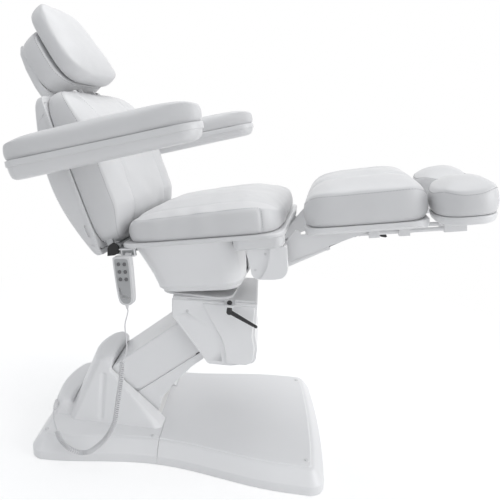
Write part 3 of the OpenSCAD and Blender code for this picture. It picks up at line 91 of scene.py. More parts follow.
WHOLE = Matrix.Identity(4)
LIFT_ANGLE = 38.2                  # the joints' angles at rest
SWIVEL_ANGLE = -7.5
SEAT_ANGLE = 8.3
BACK_ANGLE = 13
HEAD_ANGLE = 15.7
ARM_ANGLE = 11.1
PIVOT = (-178, 195)                # places as (x, z), each in its parent's frame
LIFT_L = 330
HEAD_AT = tuple(a + b for a, b in zip(PIVOT, turn2((LIFT_L, 0), LIFT_ANGLE)))
TILT_AT = (-60, HEAD_AT[1] + 79 + 72)
BACK_HINGE = (-122, 112)
HEAD_HINGE = (-20, 460)
ARM_FIX = (-55, 266)
ARM_Y = 358
ARM_HINGE = 79                     # from an arm's rear end to its hinge
HOOK = (-79, 91)
TURNED = shift(HEAD_AT[0] - 23) @ Matrix.Rotation(math.radians(SWIVEL_ANGLE), 4, "Z")
TILTED = hinged(TURNED, TILT_AT, SEAT_ANGLE)
LEANED = hinged(TILTED, BACK_HINGE, BACK_ANGLE)
HEADED = hinged(LEANED, HEAD_HINGE, HEAD_ANGLE)
ALONG_ARM = hinged(WHOLE, PIVOT, LIFT_ANGLE)
ALONG_LINK = shift(0, 0, -70) @ ALONG_ARM
HINGE_AT = np.add(TILT_AT, turn2(BACK_HINGE, SEAT_ANGLE))
ARM_FOOT = HINGE_AT + turn2(ARM_FIX, SEAT_ANGLE + BACK_ANGLE)
HOOK_AT = np.add(TILT_AT, turn2(HOOK, SEAT_ANGLE))
HELD = TURNED @ shift(HOOK_AT[0] - 12, -255.2, HOOK_AT[1] + 3) @ tip(5)


def armed(side):
    return TURNED @ shift(ARM_FOOT[0], side * ARM_Y, ARM_FOOT[1]) @ tip(ARM_ANGLE) @ shift(-ARM_HINGE)


# ---------- cord ----------

def unit(v):
    return v / np.linalg.norm(v)


CORD_D = 3.6
CURL_D = 15
CURLS = 86
COIL_LINE = [(-135.5, -260, 336), (-137, -262, 310), (-139, -265, 280), (-143, -268, 250),
             (-147, -272, 221), (-151, -276, 190), (-155, -280, 161), (-163, -284, 137),
             (-175, -288, 115), (-188, -292, 96), (-204, -295, 80), (-218, -298, 68),
             (-233, -300, 59), (-258, -300, 54), (-290, -296, 60), (-312, -288, 68),
             (-332, -272, 75), (-347, -252, 79)]
LEAD_LINE = [(-124.846, -233.286, 481.404), (-123.982, -233.4, 471.442), (-129, -247, 440),
             (-125.5, -251, 405), (-123, -255, 378), (-125, -257, 360), (-131, -258.6, 347),
             COIL_LINE[0]]
GLAND_MOUTH = np.array((-396.0, -160.0, 91.0))
GLAND_IN = np.array((-403.0, -126.0, 95.0))
GLAND_V = unit(GLAND_IN - GLAND_MOUTH)
TAIL_LINE = [COIL_LINE[-1], (-356, -238, 80), (-368, -220, 81.5), (-380, -200, 83),
             tuple(GLAND_MOUTH - 10 * GLAND_V), tuple(GLAND_MOUTH)]


def cubic(points, t):
    """A smooth curve through points, at t from 0 to 1."""
    n = len(points) - 1
    s = min(int(t * n), n - 1)
    f = t * n - s
    a, b, c, d = (np.array(points[k], float) for k in (max(s - 1, 0), s, s + 1, min(s + 2, n)))
    return 0.5 * (2 * b + (c - a) * f + (2 * a - 5 * b + 4 * c - d) * f * f
                  + (3 * b - a - 3 * c + d) * f ** 3)


def coil_point(t):
    """A point of the curls, at t from 0 to 1 along the coil's line."""
    angle = 2 * math.pi * t * CURLS
    d = unit(cubic(COIL_LINE, min(1, t + 0.01)) - cubic(COIL_LINE, max(0, t - 0.01)))
    side = unit(np.cross(d, (0.1, 0.99, 0.05)))
    return cubic(COIL_LINE, t) + (CURL_D - CORD_D) / 2 * (
        math.cos(angle) * side + math.sin(angle) * np.cross(side, d))


def sweep(a, b, before, after, reach=9, n=9):
    """A bend from a to b, with those directions at its ends."""
    c, d = a + reach * unit(before), b - reach * unit(after)
    return [a * (1 - t) ** 3 + 3 * c * t * (1 - t) ** 2 + 3 * d * t * t * (1 - t) + b * t ** 3
            for t in (i / n for i in range(1, n))]


PER_TURN = 14                      # points in a curl
LEAD_STEPS = 36                    # points along the plain ends
TAIL_STEPS = 26
lead = [cubic(LEAD_LINE, i / LEAD_STEPS) for i in range(LEAD_STEPS - 2)]
coil = [coil_point(i / (CURLS * PER_TURN)) for i in range(PER_TURN, (CURLS - 1) * PER_TURN)]
tail = [cubic(TAIL_LINE, i / TAIL_STEPS) for i in range(2, TAIL_STEPS + 1)]
route = (lead + sweep(lead[-1], coil[0], lead[-1] - lead[-2], coil[1] - coil[0]) + coil
         + sweep(coil[-1], tail[0], coil[-1] - coil[-2], tail[1] - tail[0]) + tail)
route = [p * MM for p in route]
curve = bpy.data.curves.new("curly_cord", "CURVE")
curve.dimensions = "3D"
POINT_RADIUS = 0.01                # small, because a curve's box grows by its points' radius
curve.bevel_depth = CORD_D / 2 * MM / POINT_RADIUS
curve.bevel_resolution = 3
curve.use_fill_caps = True
spline = curve.splines.new("POLY")
spline.points.add(len(route) - 1)
for point, p in zip(spline.points, route):
    point.co = (*p, 1)
    point.radius = POINT_RADIUS
cord = added("curly_cord", curve)
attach(cord, "base")
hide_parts("cord_lead", "cord_coil", "cord_tail")


# ---------- materials ----------

MATERIAL = {}


def nodes_of(name):
    MATERIAL[name] = bpy.data.materials.new(name)
    MATERIAL[name].use_nodes = True
    t = MATERIAL[name].node_tree
    return t, t.nodes["Principled BSDF"]


def feed(t, n, values):
    """Gives a node's inputs, by name or number, their values or their links."""
    for key, value in values.items():
        if isinstance(value, bpy.types.NodeSocket):
            t.links.new(value, n.inputs[key])
        else:
            n.inputs[key].default_value = value
    return n


def node(t, kind, values):
    return feed(t, t.nodes.new("ShaderNode" + kind), values)


def coords(t, stretch=None):
    found = t.nodes.get("coords") or t.nodes.new("ShaderNodeTexCoord")
    found.name = "coords"
    if stretch is None:
        return found.outputs["Object"]
    return node(t, "Mapping", {"Scale": stretch, "Vector": found.outputs["Object"]}).outputs["Vector"]


def noise(t, scale, detail=3, rough=0.5):
    return node(t, "TexNoise", {"Scale": scale, "Detail": detail, "Roughness": rough,
                                "Vector": coords(t)}).outputs[0]


def ramp(t, value, low, high, start=0.3, end=0.7):
    """Spreads a value from start to end over low to high."""
    return node(t, "MapRange", {"Value": value, "From Min": start, "From Max": end,
                                "To Min": low, "To Max": high}).outputs["Result"]


def combine(t, how, a, b):
    n = node(t, "Math", {0: a, 1: b})
    n.operation = how
    return n.outputs[0]


def mix(t, factor, a, b):
    """Mixes two colours, each three numbers or a link."""
    n = t.nodes.new("ShaderNodeMix")
    n.data_type = "RGBA"
    a, b = ((*v, 1) if isinstance(v, tuple) else v for v in (a, b))
    return feed(t, n, {0: factor, 6: a, 7: b}).outputs[2]


def bump(t, height, depth, strength=1.0, **under):
    return node(t, "Bump", {"Height": height, "Distance": depth, "Strength": strength,
                            **under}).outputs["Normal"]


def edge_wear_and_highlight(t, colour, edge_colour, amount):
    """Convex edges a shade off, broken up by a fine noise: where lighter, a painted highlight as well as
    rubbed wear; where darker, worn.
    """
    g = t.nodes.new("ShaderNodeNewGeometry")
    sharp = ramp(t, g.outputs["Pointiness"], 0.0, amount, 0.54, 0.66)
    return mix(t, combine(t, "MULTIPLY", sharp, noise(t, 180, 4)), colour, edge_colour)


def grey(value, blue=0.005):
    return (value, value, value + blue)


def leatherette():
    t, p = nodes_of("leatherette")
    base = mix(t, noise(t, 7, 4, 0.6), grey(0.68), grey(0.73))
    pores = node(t, "TexVoronoi", {"Scale": 1250, "Detail": 3, "Roughness": 0.5, "Vector": coords(t)})
    pores.feature = "DISTANCE_TO_EDGE"
    fine = ramp(t, pores.outputs["Distance"], 0.0, 1.0, 0.0, 0.14)
    base = mix(t, ramp(t, fine, 0.16, 0.0, 0, 1), base, grey(0.58, 0.01))
    pull = bump(t, noise(t, 20, 2, 0.4), 0.0014, 0.35)
    crease = bump(t, noise(t, 90, 5, 0.65), 0.0002, 0.4, Normal=pull)
    # the convex edges lightened to grey 0.82: a painted highlight as well as rubbed wear
    feed(t, p, {"Base Color": edge_wear_and_highlight(t, base, grey(0.82, 0), 0.4),
                "Roughness": ramp(t, noise(t, 35, 5, 0.6), 0.36, 0.50),
                "Specular IOR Level": 0.45, "Coat Weight": 0.10, "Coat Roughness": 0.35,
                "Normal": bump(t, fine, 0.00006, 0.7, Normal=crease)})


def moulded(name, low, high, rough, grain=900, depth=0.00003, edge=None, edge_amount=0.4, metallic=0.0,
            speck=None):
    """Moulded or painted surface: slow colour drift, fine grain and convex edges shifted in tone, the
    lighter ones a painted highlight as well as rubbed wear.
    """
    t, p = nodes_of(name)
    base = mix(t, noise(t, 5, 3, 0.55), low, high)
    if speck:
        base = mix(t, ramp(t, noise(t, 420, 2), 0.0, 0.5, 0.62, 0.7), base, speck)
    # edges by default a trace lighter than the face: a painted highlight as well as rubbed wear
    edge = edge or tuple(min(1, c * 1.03) for c in high)
    feed(t, p, {"Base Color": edge_wear_and_highlight(t, base, edge, edge_amount), "Metallic": metallic,
                "Roughness": ramp(t, noise(t, 16, 2, 0.4), rough - 0.02, rough + 0.04),
                "Normal": bump(t, noise(t, grain, 3, 0.6), depth, 0.15)})


def brushed(name, low, high, rough):
    """Bare metal with fine lines along X, smeared here and there, its convex edges lightened as a painted
    highlight as well as rubbed wear.
    """
    t, p = nodes_of(name)
    lines = node(t, "TexNoise", {"Scale": 1.0, "Detail": 4, "Vector": coords(t, (40, 900, 900))}).outputs[0]
    base = mix(t, ramp(t, noise(t, 14, 4), 0.0, 0.35), mix(t, lines, low, high), low)
    feed(t, p, {"Base Color": edge_wear_and_highlight(t, base, tuple(min(1, c * 1.3) for c in high), 0.5),
                "Roughness": ramp(t, lines, rough, rough + 0.14), "Metallic": 1.0,
                "Normal": bump(t, lines, 0.00003)})


leatherette()
moulded("cover", grey(0.85), grey(0.88), 0.34)
moulded("shell", grey(0.72), grey(0.76), 0.33, 1500, 0.00005)
moulded("white_metal", grey(0.76), grey(0.82), 0.36, 700, 0.00008, edge=grey(0.62, 0.01), edge_amount=0.5)
moulded("frame_steel", (0.40, 0.41, 0.42), (0.50, 0.51, 0.52), 0.42, 800, 0.00006, metallic=0.6,
        speck=grey(0.34, 0.01))
brushed("bright_steel", grey(0.62, 0.01), grey(0.76, 0.01), 0.16)
brushed("dark_steel", (0.045, 0.046, 0.05), grey(0.09), 0.25)
moulded("screw", grey(0.72), grey(0.78), 0.3, 1500, 0.00004)
moulded("black_plastic", grey(0.012, 0.001), grey(0.022, 0.002), 0.38, 1400, 0.00009, edge=grey(0.07, 0))
moulded("black_rubber", grey(0.010, 0.001), grey(0.020, 0.001), 0.66, 1800, 0.00012, edge=grey(0.05, 0),
        speck=grey(0.035, 0))
moulded("grey_plastic", (0.16, 0.165, 0.17), (0.21, 0.215, 0.22), 0.42, 1200, 0.00008)
moulded("keys", grey(0.13), grey(0.17), 0.48, 1600, 0.0001, edge=grey(0.30, 0), edge_amount=0.6)
moulded("cord", grey(0.66, 0.01), grey(0.74, 0.01), 0.44, 1700, 0.00005)
moulded("inlay", (0.40, 0.405, 0.41), (0.46, 0.465, 0.47), 0.45, 1500, 0.00008, edge=grey(0.5, 0))
moulded("thread", grey(0.34, 0.01), grey(0.42, 0.01), 0.7, 4000, 0.0001)
cord.data.materials.append(MATERIAL["cord"])


# ---------- mesh tools, in millimetres of a frame ----------

def make(name, points, faces, m=WHOLE):
    me = bpy.data.meshes.new(name)
    me.from_pydata([m @ (Vector(p) * MM) for p in points], [], faces)
    me.validate()
    b = bmesh.new()
    b.from_mesh(me)
    bmesh.ops.recalc_face_normals(b, faces=b.faces)
    b.to_mesh(me)
    b.free()
    return added(name, me)


def made_from(b, name):
    me = bpy.data.meshes.new(name)
    b.to_mesh(me)
    b.free()
    return added(name, me)


def modify(o, kind, **values):
    return give(o.modifiers.new(kind.lower(), kind), **values)


def bake(o):
    """Applies the modifiers."""
    dg = bpy.context.evaluated_depsgraph_get()
    me = bpy.data.meshes.new_from_object(o.evaluated_get(dg))
    old = o.data
    o.modifiers.clear()
    o.data = me
    bpy.data.meshes.remove(old)
    return o


def boolean(o, tools, how="DIFFERENCE"):
    for tool in tools:
        modify(o, "BOOLEAN", solver="MANIFOLD", operation=how, object=tool)
        bake(o)
        me = tool.data
        bpy.data.objects.remove(tool)
        bpy.data.meshes.remove(me)
    return o


def tube_faces(first, rings, n):
    """The faces of a closed tube through rings of n points, numbered from first."""
    last = first + (rings - 1) * n
    sides = [(k + i, k + (i + 1) % n, k + n + (i + 1) % n, k + n + i)
             for k in range(first, last, n) for i in range(n)]
    return sides + [tuple(range(first, first + n))[::-1], tuple(range(last, last + n))]


def loft(name, rings, m=WHOLE):
    """A closed solid through rings of the same number of points."""
    return make(name, [p for r in rings for p in r], tube_faces(0, len(rings), len(rings[0])), m)


def at_z(outline, z):
    return [(p[0], p[1], z) for p in outline]


def prism(name, outline, low, high, m=WHOLE, axis="y"):
    """An outline in XZ, from low to high along Y, or with axis z in XY along Z."""
    if axis == "y":
        return loft(name, [[(p[0], y, p[1]) for p in outline] for y in (low, high)], m)
    return loft(name, [at_z(outline, z) for z in (low, high)], m)


def brick(x0, x1, y0, y1, z0, z1, m=WHOLE):
    return prism("tool", [(x0, y0), (x1, y0), (x1, y1), (x0, y1)], z0, z1, m, "z")


def arc(cx, cy, r, a0, a1, n):
    return [(cx + r * math.cos(math.radians(a0 + (a1 - a0) * i / n)),
             cy + r * math.sin(math.radians(a0 + (a1 - a0) * i / n))) for i in range(n + 1)]


def circle(cx, cy, r, n):
    return arc(cx, cy, r, 0, 360 - 360 / n, n - 1)


def pin(x, z, y0, y1, d, m=WHOLE, n=40):
    return prism("tool", circle(x, z, d / 2, n), y0, y1, m)


def post(x, y, z0, z1, d, m=WHOLE, n=40):
    return prism("tool", circle(x, y, d / 2, n), z0, z1, m, "z")


def hull(name, points, m=WHOLE):
    b = bmesh.new()
    for p in points:
        b.verts.new(m @ (Vector(p) * MM))
    bmesh.ops.convex_hull(b, input=b.verts)
    loose = [v for v in b.verts if not v.link_faces]
    bmesh.ops.delete(b, geom=loose, context="VERTS")
    bmesh.ops.recalc_face_normals(b, faces=b.faces)
    return made_from(b, name)


def rounded(x0, x1, y0, y1, r, n=12):
    r = max(r, 0.5)
    return (arc(x1 - r, y0 + r, r, -90, 0, n) + arc(x1 - r, y1 - r, r, 0, 90, n)
            + arc(x0 + r, y1 - r, r, 90, 180, n) + arc(x0 + r, y0 + r, r, 180, 270, n))


def soften(o, voxel, passes):
    """Remeshes the solid finely and rounds its edges."""
    modify(o, "REMESH", mode="VOXEL", voxel_size=voxel * MM, adaptivity=0)
    modify(o, "SMOOTH", factor=0.5, iterations=passes)
    return bake(o)


def shade(o, material):
    o.data.materials.clear()
    o.data.materials.append(MATERIAL[material])
    for poly in o.data.polygons:
        poly.use_smooth = True
        poly.material_index = 0


def round_edges(o, width, segments, angle):
    modify(o, "BEVEL", width=width * MM, segments=segments, limit_method="ANGLE",
           angle_limit=math.radians(angle), loop_slide=False)
    return modify(o, "WEIGHTED_NORMAL")


def finish(o, material, body, replaced=None, bevel=0.0, sharp=35, segments=2):
    """Gives a piece its shading and material, attaches it to its body and hides the CAD node that it stands
    for.
    """
    shade(o, material)
    if bevel:
        round_edges(o, bevel, segments, sharp).keep_sharp = True
        sharp = 70
    o.data.set_sharp_from_angle(angle=math.radians(sharp))
    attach(o, body)
    if replaced:
        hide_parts(replaced)
    return o


# ---------- sewn pads ----------

def power(a, n):
    return np.abs(a) ** n


class Pad:
    """A sewn pad on the plane z = 0 of a frame, from a fine grid drawn in to a rounded outline.
    plan(u, v) places a grid point, top(u, v) is the height of its skin and edge(u) of its seam. Its
    walls swell by blow and draw in by pull at the foot, and channels are sewn where |v| is as given."""

    def __init__(self, name, m, size, n, plan, top, edge, blow, pull, step=5.0, channels=(), sides=None):
        self.m, self.channels = m, channels
        nu, nv = (max(8, int(round(s / step))) for s in size)
        U, V = np.meshgrid(np.linspace(-1, 1, nu + 1), np.linspace(-1, 1, nv + 1), indexing="ij")
        reach = np.maximum(np.abs(U), np.abs(V))
        drawn = np.where(reach == 0, 1, reach / np.maximum((power(U, n) + power(V, n)) ** (1 / n), 1e-9))
        U, V = U * drawn, V * drawn
        X, Y = plan(U, V)
        Z = top(U, V)
        self.nu, self.nv = nu, nv
        skin = np.stack([X, Y, Z], -1).reshape(-1, 3)
        grid = lambda i, j: i * (nv + 1) + j
        rim = ([(i, 0) for i in range(nu)] + [(nu, j) for j in range(nv)]
               + [(i, nv) for i in range(nu, 0, -1)] + [(0, j) for j in range(nv, 0, -1)])
        self.rim = [grid(*r) for r in rim]
        ring = skin[self.rim]
        before, after = np.roll(ring, 1, 0), np.roll(ring, -1, 0)
        tangent = (after - before)[:, :2]
        tangent /= np.maximum(np.linalg.norm(tangent, axis=1, keepdims=True), 1e-9)
        out = np.stack([tangent[:, 1], -tangent[:, 0]], -1)
        if np.sum(out * ring[:, :2]) < 0:
            out = -out
        height = edge(U.reshape(-1)[self.rim])
        rows = max(6, int(round(height.mean() / step)))
        points = [skin]
        rings = [self.rim]
        count = len(skin)
        for r in range(1, rows + 1):
            t = 1 - r / rows
            swell = blow * 4 * t * (1 - t) - pull * (1 - t) ** 6
            row = np.column_stack([ring[:, :2] + out * swell, height * t])
            if r == rows:
                row[:, 2] = 0
            points.append(row)
            rings.append(list(range(count, count + len(row))))
            count += len(row)
        faces = [(grid(i, j), grid(i + 1, j), grid(i + 1, j + 1), grid(i, j + 1))
                 for i in range(nu) for j in range(nv)]
        k = len(self.rim)
        for a, b in zip(rings, rings[1:]):
            faces += [(a[i], a[(i + 1) % k], b[(i + 1) % k], b[i]) for i in range(k)]
        # the underside, the same grid drawn in and flat
        inner = np.column_stack([X.reshape(-1), Y.reshape(-1), np.zeros(X.size)])
        inner[:, :2] *= 1 - (pull + 3) / np.abs(inner[:, :2]).max()
        under = dict(zip(self.rim, rings[-1]))
        inside = [g for g in range(X.size) if g not in under]
        under.update((g, count + i) for i, g in enumerate(inside))
        points.append(inner[inside])
        faces += [(under[grid(i, j)], under[grid(i, j + 1)], under[grid(i + 1, j + 1)],
                   under[grid(i + 1, j)]) for i in range(nu) for j in range(nv)]
        self.points = np.vstack(points)
        self.wall = np.arange(len(skin), len(skin) + rows * k)
        self.U, self.V = U.reshape(-1), V.reshape(-1)
        self.size_skin = len(skin)
        self.object = make(name, self.points, faces, m)
        self.pins = np.zeros(len(self.points))
        self.pins[len(skin) + (rows - 1) * k:] = 1
        self.chains = ([self.rim + self.rim[:1]] if sides is None
                       else [side_chain(self, *sides, side) for side in (-1, 1)])
        for chain in self.chains:
            self.pins[chain] = 1
        half_line = 0.7 * 2 / nv
        for c in channels:
            self.pins[:len(skin)][np.abs(np.abs(self.V) - c) < half_line] = 0.9

    def local(self):
        inverse = self.m.inverted()
        return np.array([inverse @ v.co for v in self.object.data.vertices]) / MM

    def set_local(self, points):
        for v, p in zip(self.object.data.vertices, points):
            v.co = self.m @ (Vector(p) * MM)
        self.object.data.update()

    def normals(self):
        turn = self.m.to_3x3().inverted()
        return np.array([turn @ v.normal for v in self.object.data.vertices])


def puff(pads, pressure=4.0, cap=5.0, frames=20):
    """Blows the pads up as cloth, all at once, and keeps each point within cap of where it was."""
    for pad in pads:
        o = pad.object
        group = o.vertex_groups.new(name="pins")
        for level in (0.9, 1.0):
            group.add([int(i) for i in np.nonzero(pad.pins == level)[0]], level, "REPLACE")
        mod = modify(o, "CLOTH")
        give(mod.settings, quality=6, mass=0.3, tension_stiffness=12, compression_stiffness=12,
             shear_stiffness=6, bending_stiffness=2, use_pressure=True, uniform_pressure_force=pressure,
             vertex_group_mass="pins")
        mod.settings.effector_weights.gravity = 0
        give(mod.point_cache, frame_start=1, frame_end=frames)
    for f in range(1, frames + 1):
        scene.frame_set(f)
    dg = bpy.context.evaluated_depsgraph_get()
    for pad in pads:
        e = pad.object.evaluated_get(dg)
        inverse = pad.m.inverted()
        now = np.array([inverse @ v.co for v in e.data.vertices]) / MM
        d = now - pad.points
        far = np.linalg.norm(d, axis=1, keepdims=True)
        d *= np.minimum(1, cap / np.maximum(far, 1e-9))
        pad.object.modifiers.clear()
        pad.object.vertex_groups.clear()
        pad.set_local(pad.points + d)
    scene.frame_set(1)


def side_chain(pad, low, high, side):
    """A seam along the rim's side v < 0 (-1) or v > 0 (1), for u from low to high, that turns down the
    wall at both ends."""
    k = len(pad.rim)
    rows = len(pad.wall) // k
    part = [i for i, g in enumerate(pad.rim) if low <= pad.U[g] <= high and pad.V[g] * side > 0.6]
    part.sort(key=lambda i: pad.U[pad.rim[i]])
    column = lambda i: [pad.size_skin + r * k + i for r in range(rows - 1)]
    return column(part[0])[::-1] + [pad.rim[i] for i in part] + column(part[-1])


def sew(pad, seam_depth, wrinkle, seed, channel_depth=2.0, width=5.0):
    """Presses the seams and the sewn channels in, and adds slight pull wrinkles beside them."""
    local, normal = pad.local(), pad.normals()
    skin = pad.size_skin
    press = np.zeros(len(local))
    test = np.arange(skin + len(pad.wall))
    for chain in pad.chains:
        line = local[chain]
        near = np.full(len(test), 1e9)
        for start in range(0, len(line), 64):
            d = local[test][:, None, :] - line[None, start:start + 64, :]
            near = np.minimum(near, np.sqrt((d ** 2).sum(-1)).min(1))
        press[test] = np.maximum(press[test], seam_depth * np.exp(-(near / (width * 0.55)) ** 2))
    half = np.abs(local[:skin, 1]).max()
    for c in pad.channels:
        gap = (np.abs(pad.V) - c) * half
        press[:skin] += channel_depth * np.exp(-(gap / (width * 0.7)) ** 2) * (1 - power(pad.U, 8))
    draw = np.random.default_rng(seed)
    wave = np.zeros(len(local))
    for _ in range(26):
        k = draw.normal(0, 1, 3)
        k[2] *= 0.3
        k = k / np.linalg.norm(k) * draw.uniform(0.04, 0.12)
        wave += np.sin(local @ k + draw.uniform(0, 6.28))
    wave[pad.pins > 0.5] = 0
    press += wrinkle * wave / 5
    press[skin + len(pad.wall) - len(pad.rim):] = 0
    pad.set_local(local - normal * press[:, None])


def on_skin(pad, chain, offset):
    """A line beside a chain of vertices, on the finished skin, as (point, normal) in metres."""
    dg = bpy.context.evaluated_depsgraph_get()
    tree = BVHTree.FromObject(pad.object, dg)
    me = pad.object.data
    points = [me.vertices[i].co.copy() for i in chain]
    normals = [me.vertices[i].normal.copy() for i in chain]
    for _ in range(2):
        points = [(points[max(i - 1, 0)] + p * 2 + points[min(i + 1, len(points) - 1)]) / 4
                  for i, p in enumerate(points)]
    line = []
    for i, p in enumerate(points):
        along = points[min(i + 1, len(points) - 1)] - points[max(i - 1, 0)]
        aside = normals[i].cross(along).normalized()
        q, n, _, _ = tree.find_nearest(p + aside * offset * MM)
        line.append((np.array(q), np.array(n)))
    return line


def channel_chain(pad, c):
    """Skin vertices nearest to a sewn channel, in order along it, but for its two ends."""
    chain = []
    for row in np.arange(pad.size_skin).reshape(pad.nu + 1, pad.nv + 1):
        g = int(row[np.argmin(np.abs(pad.V[row] - c))])
        if abs(pad.U[g]) < 0.93:
            chain.append(g)
    return chain


def stitches(name, lines, body, pitch=6.5, length=4.2, thick=1.4, lift=0.1):
    """Rows of thread along lines of (point, normal) in metres. A stitch dips into the skin at its ends."""
    points, faces = [], []
    around = circle(0, 0, 1, 6)
    for line in lines:
        p = np.array([q[0] for q in line])
        n = np.array([q[1] for q in line])
        s = np.concatenate([[0], np.cumsum(np.linalg.norm(np.diff(p, axis=0), axis=1))])
        for k in range(int(s[-1] / (pitch * MM))):
            a = (k + 0.2) * pitch * MM
            b = a + length * MM
            if b > s[-1]:
                break
            first, middle, last = (np.array([np.interp(x, s, p[:, c]) for c in range(3)])
                                   for x in (a, (a + b) / 2, b))
            normal = unit(np.array([np.interp((a + b) / 2, s, n[:, c]) for c in range(3)]))
            side = unit(np.cross(normal, unit(last - first)))
            faces += tube_faces(len(points), 5, 6)
            for e, r, up in ((first, 0.3, -0.6), (first * 0.75 + last * 0.25, 1, 0), (middle, 1.05, 0.15),
                             (first * 0.25 + last * 0.75, 1, 0), (last, 0.3, -0.6)):
                centre = e / MM + normal * (lift + up * thick / 2)
                points += [centre + r * thick / 2 * (c * side + w * normal) for c, w in around]
    return finish(make(name, points, faces), "thread", body, sharp=60)


def close_up(pad, body, replaced):
    """Dresses a finished pad: one subdivision, leatherette and its body, and hides the node that it stands
    for.
    """
    modify(pad.object, "SUBSURF", levels=1, render_levels=1)
    finish(pad.object, "leatherette", body, replaced, sharp=80)


def seat_edge(u):
    return 62 + 6 * u - 24 * np.maximum(u, 0) ** 6 - 22 * np.maximum(-u, 0) ** 10


def groove(v, at, width, depth):
    return depth * np.exp(-((np.abs(v) - at) / width) ** 2)


seat = Pad("seat_pad", TILTED @ shift(119, 0, 125.3), (436, 500), 7,
           lambda u, v: (208 * u, 244 * v),
           lambda u, v: seat_edge(u) + 28 * (1 - power(u, 4)) * (1 - power(v, 4))
           - groove(v, 0.74, 0.09, 5) * (1 - power(u, 4)),
           seat_edge, 3, 4, channels=(0.74,), sides=(-0.97, 0.80))


def back_edge(u):
    return 90 - 44 * (np.maximum(-u - 0.55, 0) / 0.45) ** 1.3 - 52 * np.maximum(u, 0) ** 2.4


BACK_FLIP = Matrix.Rotation(math.radians(90), 4, "Y") @ Matrix.Rotation(math.pi, 4, "Z")
back = Pad("back_pad", LEANED @ shift(-37.7, 0, 232) @ BACK_FLIP, (452, 490), 7,
           lambda u, v: (222 * u, 240 * v),
           lambda u, v: back_edge(u) + (1 - power(u, 4)) * (32 * (1 - power(v, 6))
                                                           - groove(v, 0.55, 0.1, 9) - 8 * (1 - v * v)),
           back_edge, 3, 4, channels=(0.55,))


def head_half(s):
    return 152 - 46 * (np.maximum(0, s) / 256) ** 1.4


def head_pad(name, x, s, l, edge, crown):
    return Pad(name, HEADED @ shift(x, 0, s + l / 2) @ BACK_FLIP, (l, 280), 4,
               lambda u, v: (l / 2 * u, head_half(l * (1 + u) / 2) * v),
               lambda u, v: edge + crown * (1 - power(u, 4)) * (1 - power(v, 4)),
               lambda u: edge + 0 * u, 2, 4, step=4.5)


head_rear = head_pad("headrest_rear_pad", -42.7, 20, 190, 59, 8)
head_front = head_pad("headrest_front_pad", 27, 8, 256, 43, 24)


def leg_edge(u):
    return 79 - 30 * np.abs(u) ** 8


leg = Pad("leg_pad", TILTED @ shift(520, 0, 122.3), (284, 424), 6,
          lambda u, v: (140 * u, 209 * v),
          lambda u, v: leg_edge(u) + 30 * (1 - power(u, 4)) * (1 - power(v, 4))
          - groove(v, 0.34, 0.08, 18) * (1 - power(u, 6)),
          leg_edge, 3, 6, channels=(0.34,), step=4.5)
arm = Pad("arm_pad_near", armed(-1) @ shift(257.5, 0, 28), (515, 92), 3.2,
          lambda u, v: (255.5 * u, 43.5 * v),
          lambda u, v: 35 + 19 * (1 - power(u, 8)) * (1 - power(v, 3)),
          lambda u: 33 + 0 * u, 2, 3, step=4.5)
foot = Pad("foot_pad_near", TILTED @ shift(732, -131, 127.3), (130, 200), 2.7,
           lambda u, v: (62.5 * u, 97.5 * v),
           lambda u, v: 52 + 30 * (1 - power(u, 2.8)) * (1 - power(v, 2.8)),
           lambda u: 52 + 0 * u, 3, 4, step=4)
PADS = [seat, back, head_rear, head_front, leg, arm, foot]
puff(PADS)
sew(seat, seam_depth=2.6, width=6, wrinkle=0.9, seed=2)
sew(back, seam_depth=2.2, channel_depth=3.2, width=6, wrinkle=0.9, seed=3)
sew(head_rear, seam_depth=2.0, wrinkle=0.4, seed=4)
sew(head_front, seam_depth=1.2, wrinkle=0.5, seed=5)
sew(leg, seam_depth=2.2, channel_depth=4.0, width=6, wrinkle=0.7, seed=6)
sew(arm, seam_depth=1.2, wrinkle=0.35, seed=7)
sew(foot, seam_depth=2.0, wrinkle=0.4, seed=8)


def twin(pad, name, m):
    """The same pad, mirrored across its own length, in another frame."""
    other = pad.object.copy()
    other.data = pad.object.data.copy()
    other.name = other.data.name = name
    scene.collection.objects.link(other)
    mirrored = m @ Matrix.Scale(-1, 4, (0, 1, 0))
    other.data.transform(mirrored @ pad.m.inverted())
    other.data.flip_normals()
    made = Pad.__new__(Pad)
    made.__dict__.update(pad.__dict__)
    made.object, made.m = other, mirrored
    return made


arm_far = twin(arm, "arm_pad_far", armed(1) @ shift(257.5, 0, 28))
foot_far = twin(foot, "foot_pad_far", TILTED @ shift(732, 131, 127.3))
for pad, body, replaced, fill in (
        (seat, "seat", "seat_cushion", 0.8), (back, "back", "back_cushion", 0.8),
        (head_rear, "headrest", "headrest_cushion", 0.8), (head_front, "headrest", "headrest_pad", 0.8),
        (leg, "leg_rest", "leg_cushion", 0.85), (arm, "arm_right", "arm_pad_right", 0.9),
        (arm_far, "arm_left", "arm_pad_left", 0.9), (foot, "foot_right", "foot_pad_right", 0.85),
        (foot_far, "foot_left", "foot_pad_left", 0.85)):
    close_up(pad, body, replaced)
stitches("seat_stitches", [on_skin(seat, c, o) for c, o in zip(seat.chains, (4, -4))], "seat")
for pad, name, body in ((back, "back_stitches", "back"), (leg, "leg_stitches", "leg_rest"),
                        (head_rear, "headrest_stitches", "headrest")):
    channels = [channel_chain(pad, side * c) for c in pad.channels for side in (-1, 1)]
    stitches(name, [on_skin(pad, pad.chains[0], -4)] + [on_skin(pad, c, 4.5) for c in channels], body)
for pad, name, body in ((foot, "foot_stitches_near", "foot_right"),
                        (foot_far, "foot_stitches_far", "foot_left")):
    stitches(name, [on_skin(pad, pad.chains[0], -4)], body, 5.5, 3.6)


# ---------- base covers ----------

BASE_END = 440                     # half the base's length, and its corners' radius
BASE_CORNER = 46


def side_y(x, inset):
    t = min(1, abs(x + 42) / 370)
    return 242 + 22 * (1 - math.cos(math.pi * t)) - inset


def end_x(y, inset):
    return BASE_END - inset - 14 * (y / 286) ** 2


